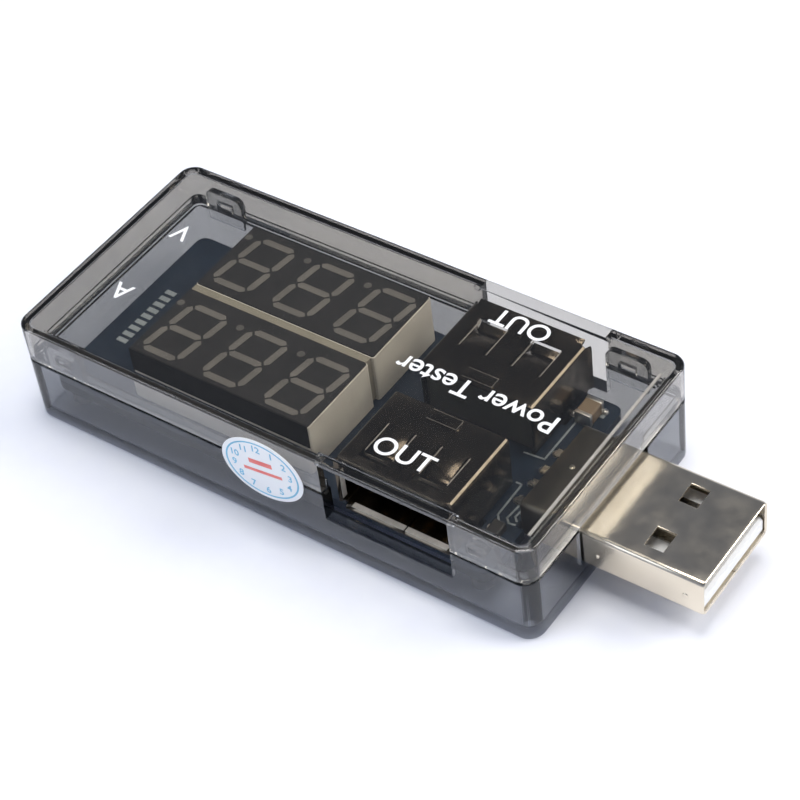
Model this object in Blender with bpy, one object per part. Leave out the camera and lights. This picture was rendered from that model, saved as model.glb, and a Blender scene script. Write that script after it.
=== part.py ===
"""A plug-in USB power meter: a clear smoky snap-together case around a circuit board that carries
two three-digit displays, two USB sockets in the long walls and a USB plug at one end.

Lengths are in millimetres and MM turns them into metres. The origin is under the middle of the
whole meter, on the surface it lies on. +X points out of the plug, -Y is the near side, +Z is up.
"""

import bmesh
import bpy
from math import cos, pi, radians, sin

MM = 0.001

# Case
CASE_LENGTH = 62.0
CASE_WIDTH = 29.0
CASE_HEIGHT = 12.8
PLUG_REACH = 13.0
CASE_BACK = -(CASE_LENGTH + PLUG_REACH) / 2
CASE_FRONT = CASE_BACK + CASE_LENGTH
CASE_SIDE = CASE_WIDTH / 2
CORNER_RADIUS = 2.0
SPLIT_Z = 8.25
SPLIT_GAP = 0.24
COVER_WALL = 1.2
COVER_TOP = 0.8
TOP_ROUND = 0.4
FLOOR = 1.2
FLOOR_ROUND = 0.6
LIP_INSET = COVER_WALL + 0.15
LIP_THICKNESS = 0.65
CASE_WALL = LIP_INSET + LIP_THICKNESS
LIP_TOP = 9.5
ARC_STEPS = 5

# Snap tabs of the lower case and the bumps of the cover that click into them
TAB_CENTRES_X = (-32.0, 18.2)
TAB_WIDTH = 4.8
TAB_TOP = 11.2
TAB_WINDOW = (1.9, 1.1)
TAB_WINDOW_Z = 9.4
BUMP = (1.5, 0.7)
BUMP_DEPTH = 0.5

# Openings in the long walls for the sockets, and in the end wall for the plug
PORT_X = (0.87, 15.6)
PORT_Z = (4.7, 12.15)
PLUG_CLEARANCE = 0.15

# Circuit board
BOARD_X = (-35.3, 18.3)
BOARD_SIDE = 12.0
BOARD_TOP = 4.8
BOARD_THICKNESS = 1.2
BOARD_BOTTOM = BOARD_TOP - BOARD_THICKNESS
BOARD_CORNER = 1.0
BOARD_NOTCH_X = 17.4
BOARD_NOTCH_SIDE = 6.4
POST_PLACES = ((-33.6, 10.2), (-33.6, -10.2), (16.4, 10.2), (16.4, -10.2))
POST_RADIUS = 1.2
POST_SIDES = 12
SADDLE = ((20.0, 21.4), (-5.2, 5.2))
SEAT_GAP = 0.1

# Displays
DISPLAY_LENGTH = 22.6
DISPLAY_WIDTH = 10.1
DISPLAY_BACK = -26.2
DISPLAY_NEAR_EDGES = {"volt": 0.85, "amp": -10.1}
DISPLAY_FACE_Z = 10.9
FACE_THICKNESS = 0.15
PIN_PITCH = 2.54
PIN_ROW_OFFSET = 3.81
PINS_PER_ROW = 6
PIN_SIZE = 0.5
PIN_HOLE = 0.9
LEG_END = 2.9

# Plug
PLUG_BACK = 17.8
PLUG_WIDTH = 12.0
PLUG_HEIGHT = 4.5
PLUG_TOP = 7.9
PLUG_BOTTOM = PLUG_TOP - PLUG_HEIGHT
PLUG_TIP = CASE_FRONT + PLUG_REACH
SHEET = 0.3
LATCH_TO_TIP = 5.16
LATCH_HOLE = (2.0, 2.5)
LATCH_OFFSET = 3.1
TONGUE_TOP = 5.65
PLUG_BLOCK_LENGTH = 6.5
PLUG_CONTACT_PLACES = (-3.5, -1.0, 1.0, 3.5)
PLUG_CONTACT_WIDTH = 1.0
PLUG_CONTACT_SHEET = 0.2
PLUG_TAIL_X = (15.7, 16.9)
PLUG_STRIP_X = 17.5
CHANNEL_WIDTH = 1.3
CHANNEL_TOP = 6.15

# Sockets
SOCKETS = {"near": (7.8, -1), "far": (7.6, 1)}
SOCKET_WIDTH = 13.2
SOCKET_BOTTOM = 4.9
SOCKET_TOP = 11.45
SOCKET_BACK = 2.2
SOCKET_MOUTH = 11.9
FLARE_LENGTH = 0.34
FLARE_RISE = 0.28
FINGER_OFFSET = 3.1
FINGER_WIDTH = 3.0
FINGER_SLIT = 0.2
FINGER_ROOT = 6.05
FINGER_BEND = 8.6
FINGER_LOW = 9.6
FINGER_TIP = 10.2
FINGER_HOLE_END = 11.2
FINGER_DIP = 0.7
SEAM_OFFSET = 0.8
SEAM_GAP = 0.08
SOCKET_OPEN_REAR = 6.6
SOCKET_TONGUE = (8.4, 8.4, 10.2)
SOCKET_TONGUE_TIP = 11.1
SOCKET_BLOCK = (2.55, 4.6)
SOCKET_CONTACT_PLACES = (-3.5, -1.0, 1.0, 3.5)
SOCKET_CONTACT_WIDTH = 0.6
SHELL_LEG_Y = (7.4, 9.0)

# Parts under the board, under the displays: place, size, height, leads on each long side
CHIPS_BELOW = {
    "controller_chip": ((-14.9, -5.05), (8.6, 3.9), 1.4, 6),
    "voltage_regulator": ((-1.2, 6.8), (3.0, 1.6), 1.1, 2),
    "shunt_resistor": ((-1.2, -6.5), (3.2, 6.3), 0.6, 0),
    "input_capacitor": ((-1.2, 0.4), (2.0, 1.3), 1.2, 0),
    "output_capacitor": ((-30.2, 0.4), (2.0, 1.3), 1.2, 0),
}
SEGMENT_RESISTORS = 6
SEGMENT_RESISTOR_START = (-22.9, 5.9)
SEGMENT_RESISTOR_PITCH = 3.2
SEGMENT_RESISTOR_SIZE = (0.8, 1.6)
SEGMENT_RESISTOR_HEIGHT = 0.5

# Parts on the board beside the plug
CHIPS_ABOVE = {
    "tan_capacitor": ((15.9, 9.3), (1.8, 2.6), 1.5),
    "status_transistor": ((16.3, -8.6), (1.3, 2.8), 1.0),
}
CHIP_GAP = 0.08
CHIP_BEVEL = 0.12
LEAD_PITCH = 1.27
LEAD_WIDTH = 0.4
LEAD_REACH = 0.9
LEAD_ROOT = 0.5
LEAD_LEVEL = (0.15, 0.35)

# Oval label on the near wall
LABEL_CENTRE = (-6.3, 7.9)
LABEL_SIZE = (10.0, 7.8)
LABEL_TILT = radians(8.0)
LABEL_GAP = 0.03
LABEL_THICKNESS = 0.08


def clear_scene():
    for thing in list(bpy.data.objects):
        bpy.data.objects.remove(thing, do_unlink=True)


def make_material(name, colour, roughness, metallic=0.0, alpha=1.0):
    found = bpy.data.materials.get(name)
    if found is not None:
        return found
    made = bpy.data.materials.new(name)
    made.use_nodes = True
    shader = made.node_tree.nodes["Principled BSDF"]
    shader.inputs["Base Color"].default_value = (*colour, 1.0)
    shader.inputs["Roughness"].default_value = roughness
    shader.inputs["Metallic"].default_value = metallic
    shader.inputs["Alpha"].default_value = alpha
    made.diffuse_color = (*colour, alpha)
    return made


def smoky_plastic():
    return make_material("smoky_plastic", (0.16, 0.16, 0.19), 0.08, alpha=0.55)


def board_lacquer():
    return make_material("board_lacquer", (0.02, 0.05, 0.12), 0.35)


def cream_plastic():
    return make_material("cream_plastic", (0.72, 0.68, 0.55), 0.5)


def dark_face_film():
    return make_material("dark_face_film", (0.03, 0.03, 0.035), 0.35)


def nickel_sheet():
    return make_material("nickel_sheet", (0.62, 0.58, 0.52), 0.28, metallic=1.0)


def white_plastic():
    return make_material("white_plastic", (0.85, 0.85, 0.84), 0.45)


def black_plastic():
    return make_material("black_plastic", (0.02, 0.02, 0.022), 0.4)


def gold_contact():
    return make_material("gold_contact", (0.83, 0.62, 0.25), 0.25, metallic=1.0)


def tan_ceramic():
    return make_material("tan_ceramic", (0.45, 0.32, 0.2), 0.5)


def paper_label():
    return make_material("paper_label", (0.88, 0.9, 0.95), 0.6)


def finish(bm, name, paint, smooth=False, closed=True):
    """Turns a bmesh drawn in millimetres into a named object in metres."""
    if closed:
        bmesh.ops.recalc_face_normals(bm, faces=bm.faces)
    bmesh.ops.scale(bm, vec=(MM, MM, MM), verts=bm.verts)
    mesh = bpy.data.meshes.new(name)
    bm.to_mesh(mesh)
    bm.free()
    if smooth:
        mesh.shade_smooth()
        mesh.set_sharp_from_angle(angle=radians(35.0))
    if paint is not None:
        mesh.materials.append(paint)
    made = bpy.data.objects.new(name, mesh)
    bpy.context.scene.collection.objects.link(made)
    return made


def combine(target, tool, operation):
    """Cuts the tool from the target, or joins it on. The tool stays as a hidden guide."""
    tool.hide_render = True
    tool.display_type = "WIRE"
    change = target.modifiers.new(f"{operation.lower()}_{tool.name}", "BOOLEAN")
    change.operation = operation
    change.solver = "EXACT"
    change.object = tool


def rounded_outline(x_range, y_range, radius, steps=ARC_STEPS):
    """Corner points of a rounded rectangle, anticlockwise seen from above."""
    centres = (
        (x_range[1] - radius, y_range[1] - radius, 0.0),
        (x_range[0] + radius, y_range[1] - radius, pi / 2),
        (x_range[0] + radius, y_range[0] + radius, pi),
        (x_range[1] - radius, y_range[0] + radius, 1.5 * pi),
    )
    points = []
    for x, y, start in centres:
        for step in range(steps + 1):
            angle = start + pi / 2 * step / steps
            points.append((x + radius * cos(angle), y + radius * sin(angle)))
    return points


def add_loft(bm, rings):
    """Joins rings of points with the same count by side faces and closes both ends."""
    loops = []
    for ring in rings:
        loops.append([bm.verts.new(point) for point in ring])
    count = len(loops[0])
    for low, high in zip(loops, loops[1:]):
        for index in range(count):
            after = (index + 1) % count
            bm.faces.new((low[index], low[after], high[after], high[index]))
    bm.faces.new(list(reversed(loops[0])))
    bm.faces.new(loops[-1])


def add_prism(bm, outline, z_range):
    add_loft(bm, [[(x, y, z) for x, y in outline] for z in z_range])


def add_box(bm, x_range, y_range, z_range):
    outline = [
        (x_range[0], y_range[0]),
        (x_range[1], y_range[0]),
        (x_range[1], y_range[1]),
        (x_range[0], y_range[1]),
    ]
    add_prism(bm, outline, z_range)


def add_side_prism(bm, outline, y_range):
    """Extrudes an outline drawn in X and Z along Y."""
    add_loft(bm, [[(x, y, z) for x, z in outline] for y in y_range])


def add_end_prism(bm, outline, x_range):
    """Extrudes an outline drawn in Y and Z along X."""
    add_loft(bm, [[(x, y, z) for y, z in outline] for x in x_range])


def rounded_body(bm, inset, z_range, bottom_round=0.0, top_round=0.0, steps=3):
    """The case's outline, moved in by inset and raised between two heights with soft edges."""
    levels = []
    for step in range(steps + 1 if bottom_round else 1):
        angle = pi / 2 * step / steps
        levels.append((bottom_round * (1 - sin(angle)), z_range[0] + bottom_round * (1 - cos(angle))))
    for step in range(steps + 1 if top_round else 1):
        angle = pi / 2 * step / steps
        levels.append((top_round * (1 - cos(angle)), z_range[1] - top_round * (1 - sin(angle))))
    rings = []
    for shrink, z in levels:
        total = inset + shrink
        radius = max(CORNER_RADIUS - total, 0.25)
        x_range = (CASE_BACK + total, CASE_FRONT - total)
        y_range = (-CASE_SIDE + total, CASE_SIDE - total)
        rings.append([(x, y, z) for x, y in rounded_outline(x_range, y_range, radius)])
    add_loft(bm, rings)


def port_cutter(name, z_range):
    bm = bmesh.new()
    for side in (-1, 1):
        y_range = sorted((side * (CASE_SIDE - CASE_WALL - 0.8), side * (CASE_SIDE + 1.0)))
        add_box(bm, PORT_X, y_range, z_range)
    return finish(bm, name, None)


def tab_outline(centre):
    """A snap tab seen from the side, its two upper corners rounded."""
    half = TAB_WIDTH / 2
    top = rounded_outline((centre - half, centre + half), (LIP_TOP - 2.5, TAB_TOP), 0.9, 3)
    root = SPLIT_Z - 1.0
    return [point for point in top if point[1] > LIP_TOP] + [(centre - half, root), (centre + half, root)]


def make_lower_case():
    """Floor, walls, inner lip, snap tabs, board posts, plug saddle and the notches for the ports."""
    bm = bmesh.new()
    rounded_body(bm, 0.0, (0.0, SPLIT_Z - SPLIT_GAP / 2), bottom_round=FLOOR_ROUND)
    case = finish(bm, "lower_case", smoky_plastic(), smooth=True)

    bm = bmesh.new()
    rounded_body(bm, LIP_INSET, (SPLIT_Z - 2.0, LIP_TOP))
    combine(case, finish(bm, "guide_lip", None), "UNION")

    bm = bmesh.new()
    for centre in TAB_CENTRES_X:
        for side in (-1, 1):
            outer = CASE_SIDE - LIP_INSET
            y_range = sorted((side * outer, side * (outer - LIP_THICKNESS - 0.3)))
            add_side_prism(bm, tab_outline(centre), y_range)
    combine(case, finish(bm, "guide_tabs", None), "UNION")

    bm = bmesh.new()
    rounded_body(bm, CASE_WALL, (FLOOR, CASE_HEIGHT + 5.0))
    combine(case, finish(bm, "guide_case_hollow", None), "DIFFERENCE")

    bm = bmesh.new()
    for x, y in POST_PLACES:
        angles = [2 * pi * step / POST_SIDES for step in range(POST_SIDES)]
        ring = [(x + POST_RADIUS * cos(angle), y + POST_RADIUS * sin(angle)) for angle in angles]
        add_prism(bm, ring, (FLOOR - 0.5, BOARD_BOTTOM - SEAT_GAP))
    add_box(bm, *SADDLE, (FLOOR - 0.5, PLUG_BOTTOM - SEAT_GAP))
    combine(case, finish(bm, "guide_posts", None), "UNION")

    bm = bmesh.new()
    for centre in TAB_CENTRES_X:
        half_width, half_height = TAB_WINDOW[0] / 2, TAB_WINDOW[1] / 2
        z_range = (TAB_WINDOW_Z - half_height, TAB_WINDOW_Z + half_height)
        for side in (-1, 1):
            y_range = sorted((side * (CASE_SIDE - LIP_INSET - LIP_THICKNESS - 1.0), side * CASE_SIDE))
            add_box(bm, (centre - half_width, centre + half_width), y_range, z_range)
    combine(case, finish(bm, "guide_tab_windows", None), "DIFFERENCE")

    combine(case, port_cutter("guide_case_ports", (PORT_Z[0], CASE_HEIGHT + 5.0)), "DIFFERENCE")

    bm = bmesh.new()
    half = PLUG_WIDTH / 2 + PLUG_CLEARANCE
    x_range = (CASE_FRONT - CASE_WALL - 0.8, CASE_FRONT + 1.0)
    add_box(bm, x_range, (-half, half), (PLUG_BOTTOM - PLUG_CLEARANCE, CASE_HEIGHT + 5.0))
    combine(case, finish(bm, "guide_plug_notch", None), "DIFFERENCE")


def make_upper_cover():
    """Clear top plate and walls, open at the ports, with bumps that click into the snap tabs."""
    bottom = SPLIT_Z + SPLIT_GAP / 2
    bm = bmesh.new()
    rounded_body(bm, 0.0, (bottom, CASE_HEIGHT), top_round=TOP_ROUND)
    cover = finish(bm, "upper_cover", smoky_plastic(), smooth=True)

    bm = bmesh.new()
    rounded_body(bm, COVER_WALL, (bottom - 2.0, CASE_HEIGHT - COVER_TOP))
    combine(cover, finish(bm, "guide_cover_hollow", None), "DIFFERENCE")

    combine(cover, port_cutter("guide_cover_ports", (bottom - 2.0, PORT_Z[1])), "DIFFERENCE")

    bm = bmesh.new()
    wall = CASE_SIDE - COVER_WALL
    for centre in TAB_CENTRES_X:
        for side in (-1, 1):
            y_range = sorted((side * (wall - BUMP_DEPTH), side * (wall + COVER_WALL / 2)))
            x_range = (centre - BUMP[0] / 2, centre + BUMP[0] / 2)
            z_range = (TAB_WINDOW_Z - BUMP[1] / 2, TAB_WINDOW_Z + BUMP[1] / 2)
            add_box(bm, x_range, y_range, z_range)
    combine(cover, finish(bm, "guide_bumps", None), "UNION")


def display_pin_places(near_edge):
    middle_x = DISPLAY_BACK + DISPLAY_LENGTH / 2
    middle_y = near_edge + DISPLAY_WIDTH / 2
    places = []
    for row in (-1, 1):
        for index in range(PINS_PER_ROW):
            x = middle_x + (index - (PINS_PER_ROW - 1) / 2) * PIN_PITCH
            places.append((x, middle_y + row * PIN_ROW_OFFSET))
    return places


def socket_leg_places(centre, side):
    """Middle points of a socket's contact legs and of its two shell legs."""
    contacts = [(centre + offset, side * (SOCKET_BLOCK[1] + 0.3)) for offset in SOCKET_CONTACT_PLACES]
    leg_y = side * sum(SHELL_LEG_Y) / 2
    shell = [(centre + way * (SOCKET_WIDTH - SHEET) / 2, leg_y) for way in (-1, 1)]
    return contacts, shell


def make_board():
    """Blue board with a notch for the plug and holes for every leg that passes through it."""
    corner = rounded_outline(BOARD_X, (-BOARD_SIDE, BOARD_SIDE), BOARD_CORNER)
    notch = [
        (BOARD_X[1], -BOARD_NOTCH_SIDE),
        (BOARD_NOTCH_X, -BOARD_NOTCH_SIDE),
        (BOARD_NOTCH_X, BOARD_NOTCH_SIDE),
        (BOARD_X[1], BOARD_NOTCH_SIDE),
    ]
    bm = bmesh.new()
    add_prism(bm, corner + notch, (BOARD_BOTTOM, BOARD_TOP))
    board = finish(bm, "circuit_board", board_lacquer())

    bm = bmesh.new()
    depth = (BOARD_BOTTOM - 1.0, BOARD_TOP + 1.0)
    for near_edge in DISPLAY_NEAR_EDGES.values():
        for x, y in display_pin_places(near_edge):
            add_box(bm, *square(x, y, PIN_HOLE, PIN_HOLE), depth)
    for centre, side in SOCKETS.values():
        contacts, shell = socket_leg_places(centre, side)
        for x, y in contacts:
            add_box(bm, *square(x, y, 1.0, 0.8), depth)
        for x, y in shell:
            add_box(bm, *square(x, y, 0.8, SHELL_LEG_Y[1] - SHELL_LEG_Y[0] + 0.5), depth)
    combine(board, finish(bm, "guide_board_holes", None), "DIFFERENCE")


def square(x, y, width, depth):
    return (x - width / 2, x + width / 2), (y - depth / 2, y + depth / 2)


def make_display(name, near_edge):
    """A cream box with its pins, and the dark film that covers its face."""
    x_range = (DISPLAY_BACK, DISPLAY_BACK + DISPLAY_LENGTH)
    y_range = (near_edge, near_edge + DISPLAY_WIDTH)
    seat = BOARD_TOP + SEAT_GAP
    top = DISPLAY_FACE_Z - FACE_THICKNESS - 0.02
    bm = bmesh.new()
    add_prism(bm, rounded_outline(x_range, y_range, 0.25, 2), (seat, top))
    housing = finish(bm, f"{name}_display_housing", cream_plastic())

    bm = bmesh.new()
    for x, y in display_pin_places(near_edge):
        add_box(bm, *square(x, y, PIN_SIZE, PIN_SIZE), (LEG_END, seat + 0.5))
    combine(housing, finish(bm, f"guide_{name}_pins", None), "UNION")

    bm = bmesh.new()
    inner_x = (x_range[0] + 0.1, x_range[1] - 0.1)
    inner_y = (y_range[0] + 0.1, y_range[1] - 0.1)
    add_prism(bm, rounded_outline(inner_x, inner_y, 0.2, 2), (top + 0.02, DISPLAY_FACE_Z))
    finish(bm, f"{name}_display_face", dark_face_film())


def shell_section(width, bottom, top, radius, stops, seam):
    """Points round a folded sheet, from one side of the seam under it to the other."""
    half = width / 2
    middle = (bottom + top) / 2
    arcs = {}
    for key, x, z, start in (
        ("low_right", half - radius, bottom + radius, 1.5 * pi),
        ("high_right", half - radius, top - radius, 0.0),
        ("high_left", radius - half, top - radius, 0.5 * pi),
        ("low_left", radius - half, bottom + radius, pi),
    ):
        angles = [start + pi / 2 * step / 3 for step in range(4)]
        arcs[key] = [(x + radius * cos(a), z + radius * sin(a)) for a in angles]
    under = [stop for stop in stops if stop > seam + SEAM_GAP]
    under_left = [stop for stop in stops if stop < seam - SEAM_GAP]
    points = [(seam + SEAM_GAP / 2, bottom)] + [(stop, bottom) for stop in under]
    points += arcs["low_right"] + [(half, middle)] + arcs["high_right"]
    points += [(stop, top) for stop in reversed(stops)]
    points += arcs["high_left"] + [(-half, middle)] + arcs["low_left"]
    points += [(stop, bottom) for stop in under_left] + [(seam - SEAM_GAP / 2, bottom)]
    return points


def add_sheet(bm, section, stations, place, missing):
    """A sheet of quads along the stations, leaving out those that missing() names."""
    grid = [[bm.verts.new(place(point, station)) for station in stations] for point in section]
    for index in range(len(section) - 1):
        for step in range(len(stations) - 1):
            across = (section[index], section[index + 1])
            along = (stations[step], stations[step + 1])
            if missing(across, along):
                continue
            corners = (grid[index][step], grid[index][step + 1])
            corners += (grid[index + 1][step + 1], grid[index + 1][step])
            bm.faces.new(corners)
    bmesh.ops.delete(bm, geom=[v for v in bm.verts if not v.link_faces], context="VERTS")


def thicken(shell):
    """Gives the folded sheet its thickness on the inner side."""
    skin = shell.modifiers.new("sheet_thickness", "SOLIDIFY")
    skin.thickness = SHEET * MM
    skin.offset = -1.0
    skin.use_even_offset = True


def between(value, low, high):
    return low - 1e-6 <= value <= high + 1e-6


def make_plug_shell():
    """Folded nickel-plated sheet with two latch holes above and two below."""
    half_hole = LATCH_HOLE[1] / 2
    stops = sorted(way * LATCH_OFFSET + edge for way in (-1, 1) for edge in (-half_hole, half_hole))
    section = shell_section(PLUG_WIDTH, PLUG_BOTTOM, PLUG_TOP, 0.5, stops, 0.0)
    hole_front = PLUG_TIP - LATCH_TO_TIP
    hole_back = hole_front - LATCH_HOLE[0]
    stations = (PLUG_BACK, (PLUG_BACK + hole_back) / 2, hole_back, hole_front, PLUG_TIP - 0.3, PLUG_TIP)

    def place(point, station):
        inset = 0.06 if station == PLUG_TIP else 0.0
        y = point[0] * (1 - 2 * inset / PLUG_WIDTH)
        z = point[1] + (inset if point[1] < TONGUE_TOP else -inset)
        return (station, y, z)

    def missing(across, along):
        if across[0][1] != across[1][1] or across[0][0] * across[1][0] <= 0:
            return False
        low, high = LATCH_OFFSET - half_hole, LATCH_OFFSET + half_hole
        over_hole = all(between(abs(point[0]), low, high) for point in across)
        return over_hole and between(along[0], hole_back, hole_front - 0.01)

    bm = bmesh.new()
    add_sheet(bm, section, stations, place, missing)
    bmesh.ops.reverse_faces(bm, faces=bm.faces)
    thicken(finish(bm, "plug_shell", nickel_sheet(), smooth=True, closed=False))


def make_plug_insulator():
    """White rear block and tongue in one piece, with a channel for each contact."""
    inner = PLUG_WIDTH / 2 - SHEET - 0.15
    low = PLUG_BOTTOM + SHEET + 0.1
    high = PLUG_TOP - SHEET - 0.1
    back = PLUG_BACK + 0.3
    block_front = PLUG_BACK + PLUG_BLOCK_LENGTH
    tip = PLUG_TIP - 0.3
    outline = [
        (back, low),
        (tip - 0.3, low),
        (tip, low + 0.3),
        (tip, TONGUE_TOP - 0.3),
        (tip - 0.3, TONGUE_TOP),
        (block_front, TONGUE_TOP),
        (block_front, high),
        (back, high),
    ]
    bm = bmesh.new()
    add_side_prism(bm, outline, (-inner, inner))
    block = finish(bm, "plug_insulator", white_plastic())

    bm = bmesh.new()
    for place in PLUG_CONTACT_PLACES:
        y_range = (place - CHANNEL_WIDTH / 2, place + CHANNEL_WIDTH / 2)
        add_box(bm, (back - 1.0, block_front + 1.0), y_range, (TONGUE_TOP - 0.1, CHANNEL_TOP))
    combine(block, finish(bm, "guide_plug_channels", None), "DIFFERENCE")


def ribbon_outline(path, thickness):
    """A bent strip seen from its edge: the path is its lower line."""
    return [(a, b) for a, b in path] + [(a, b + thickness) for a, b in reversed(path)]


def make_plug_contacts():
    """Gold strips on the tongue whose tails lie on the board."""
    for number, place in enumerate(PLUG_CONTACT_PLACES, start=1):
        tip = PLUG_TIP - (1.3 if abs(place) > 2.0 else 2.2)
        tail_z = BOARD_TOP + CHIP_GAP
        strip_z = TONGUE_TOP + 0.05
        path = [(x, tail_z) for x in PLUG_TAIL_X] + [(PLUG_STRIP_X, strip_z), (tip, strip_z)]
        y_range = (place - PLUG_CONTACT_WIDTH / 2, place + PLUG_CONTACT_WIDTH / 2)
        bm = bmesh.new()
        add_side_prism(bm, ribbon_outline(path, PLUG_CONTACT_SHEET), y_range)
        finish(bm, f"plug_contact_{number}", gold_contact())


def finger_stops():
    """Places across a socket's top where the slits beside its two spring fingers lie."""
    stops = []
    for way in (-1, 1):
        for edge in (-1, 1):
            middle = way * FINGER_OFFSET + edge * (FINGER_WIDTH + FINGER_SLIT) / 2
            stops += [middle - FINGER_SLIT / 2, middle + FINGER_SLIT / 2]
    return sorted(stops)


def make_socket_shell(name, centre, side):
    """Folded sheet with two spring fingers above, a seam below and flared lips at its mouth."""
    section = shell_section(SOCKET_WIDTH, SOCKET_BOTTOM, SOCKET_TOP, 0.5, finger_stops(), SEAM_OFFSET)
    flare_end = SOCKET_MOUTH + FLARE_LENGTH
    stations = (SOCKET_BACK, FINGER_ROOT, SOCKET_OPEN_REAR, FINGER_BEND, FINGER_LOW, FINGER_TIP)
    stations += (FINGER_HOLE_END, SOCKET_MOUTH, SOCKET_MOUTH + 0.2, flare_end)
    half = SOCKET_WIDTH / 2
    inner = FINGER_WIDTH / 2 + 1e-3
    outer = FINGER_WIDTH / 2 + FINGER_SLIT + 1e-3

    def place(point, station):
        x, z = point
        on_finger = z == SOCKET_TOP and abs(abs(x) - FINGER_OFFSET) < inner
        if on_finger and between(station, FINGER_BEND, FINGER_TIP):
            z -= FINGER_DIP * (1.0 if station == FINGER_LOW else 0.55)
        if station > SOCKET_MOUTH:
            rise = FLARE_RISE * ((station - SOCKET_MOUTH) / FLARE_LENGTH) ** 1.5
            x += rise * (x > half - 1e-3) - rise * (x < 1e-3 - half)
            z += rise * (point[1] == SOCKET_TOP) - rise * (point[1] == SOCKET_BOTTOM)
        return (centre + x, side * station, z)

    def missing(across, along):
        on_top = all(p[1] == SOCKET_TOP for p in across)
        on_bottom = all(p[1] == SOCKET_BOTTOM for p in across)
        on_side = across[0][0] == across[1][0]
        middle = abs(abs(across[0][0] + across[1][0]) / 2 - FINGER_OFFSET)
        if on_top and between(along[0], FINGER_ROOT, FINGER_TIP - 0.01):
            return inner < middle < outer
        if on_top and along[0] == FINGER_TIP:
            return middle < outer
        if on_bottom and along[1] <= SOCKET_OPEN_REAR:
            return True
        return along[0] >= SOCKET_MOUTH and not (on_top or on_bottom or on_side)

    bm = bmesh.new()
    add_sheet(bm, section, stations, place, missing)
    if side < 0:
        bmesh.ops.reverse_faces(bm, faces=bm.faces)
    shell = finish(bm, f"{name}_socket_shell", nickel_sheet(), smooth=True, closed=False)
    thicken(shell)

    bm = bmesh.new()
    for x, y in socket_leg_places(centre, side)[1]:
        leg = square(x, y, SHEET * 0.8, SHELL_LEG_Y[1] - SHELL_LEG_Y[0])
        add_box(bm, *leg, (LEG_END, SOCKET_BOTTOM + 1.5))
    combine(shell, finish(bm, f"guide_{name}_shell_legs", None), "UNION")


def make_socket_insulator(name, centre, side):
    """Black rear block with the tongue that carries the contacts on its underside."""
    inner = SOCKET_WIDTH / 2 - SHEET - 0.15
    low = SOCKET_BOTTOM + SHEET + SEAT_GAP
    high = SOCKET_TOP - SHEET - SEAT_GAP
    tongue_width, tongue_low, tongue_high = SOCKET_TONGUE
    block_y = sorted(side * y for y in SOCKET_BLOCK)
    bm = bmesh.new()
    add_box(bm, (centre - inner, centre + inner), block_y, (low, high))
    block = finish(bm, f"{name}_socket_insulator", black_plastic())
    outline = [
        (side * (SOCKET_BLOCK[1] - 0.5), tongue_low),
        (side * (SOCKET_TONGUE_TIP - 0.4), tongue_low),
        (side * SOCKET_TONGUE_TIP, tongue_low + 0.4),
        (side * SOCKET_TONGUE_TIP, tongue_high - 0.4),
        (side * (SOCKET_TONGUE_TIP - 0.4), tongue_high),
        (side * (SOCKET_BLOCK[1] - 0.5), tongue_high),
    ]
    bm = bmesh.new()
    add_end_prism(bm, outline, (centre - tongue_width / 2, centre + tongue_width / 2))
    combine(block, finish(bm, f"guide_{name}_tongue", None), "UNION")


def make_socket_contacts(name, centre, side):
    """Gold springs under the tongue, each with a leg down through the board."""
    strip_top = SOCKET_TONGUE[1] - 0.05
    leg_y = SOCKET_BLOCK[1] + 0.2
    profile = [
        (leg_y, LEG_END),
        (leg_y + 0.2, LEG_END),
        (leg_y + 0.2, strip_top - 0.2),
        (8.4, strip_top - 0.35),
        (9.2, strip_top - 0.75),
        (10.3, strip_top - 0.2),
        (10.3, strip_top),
        (9.2, strip_top - 0.55),
        (8.4, strip_top - 0.15),
        (7.6, strip_top),
        (leg_y, strip_top),
    ]
    for number, offset in enumerate(SOCKET_CONTACT_PLACES, start=1):
        bm = bmesh.new()
        outline = [(side * y, z) for y, z in profile]
        half = SOCKET_CONTACT_WIDTH / 2
        add_end_prism(bm, outline, (centre + offset - half, centre + offset + half))
        finish(bm, f"{name}_socket_contact_{number}", gold_contact())


def make_chip(name, middle, size, z_range, paint, leads=0, lead_level=None):
    """A packaged part with a bevelled body and, where it has them, flat leads on its long sides."""
    rings = []
    bottom, top = z_range
    edges = ((CHIP_BEVEL, bottom), (0.0, bottom + CHIP_BEVEL), (0.0, top - CHIP_BEVEL), (CHIP_BEVEL, top))
    for inset, z in edges:
        x_range, y_range = square(*middle, size[0] - 2 * inset, size[1] - 2 * inset)
        rings.append([(x, y, z) for x, y in rounded_outline(x_range, y_range, 0.05, 1)])
    bm = bmesh.new()
    add_loft(bm, rings)
    chip = finish(bm, name, paint)
    if not leads:
        return
    bm = bmesh.new()
    for index in range(leads):
        x = middle[0] + (index - (leads - 1) / 2) * LEAD_PITCH
        for way in (-1, 1):
            edge = middle[1] + way * size[1] / 2
            y_range = sorted((edge - way * LEAD_ROOT, edge + way * LEAD_REACH))
            add_box(bm, (x - LEAD_WIDTH / 2, x + LEAD_WIDTH / 2), y_range, lead_level)
    combine(chip, finish(bm, f"guide_{name}_leads", None), "UNION")


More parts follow.
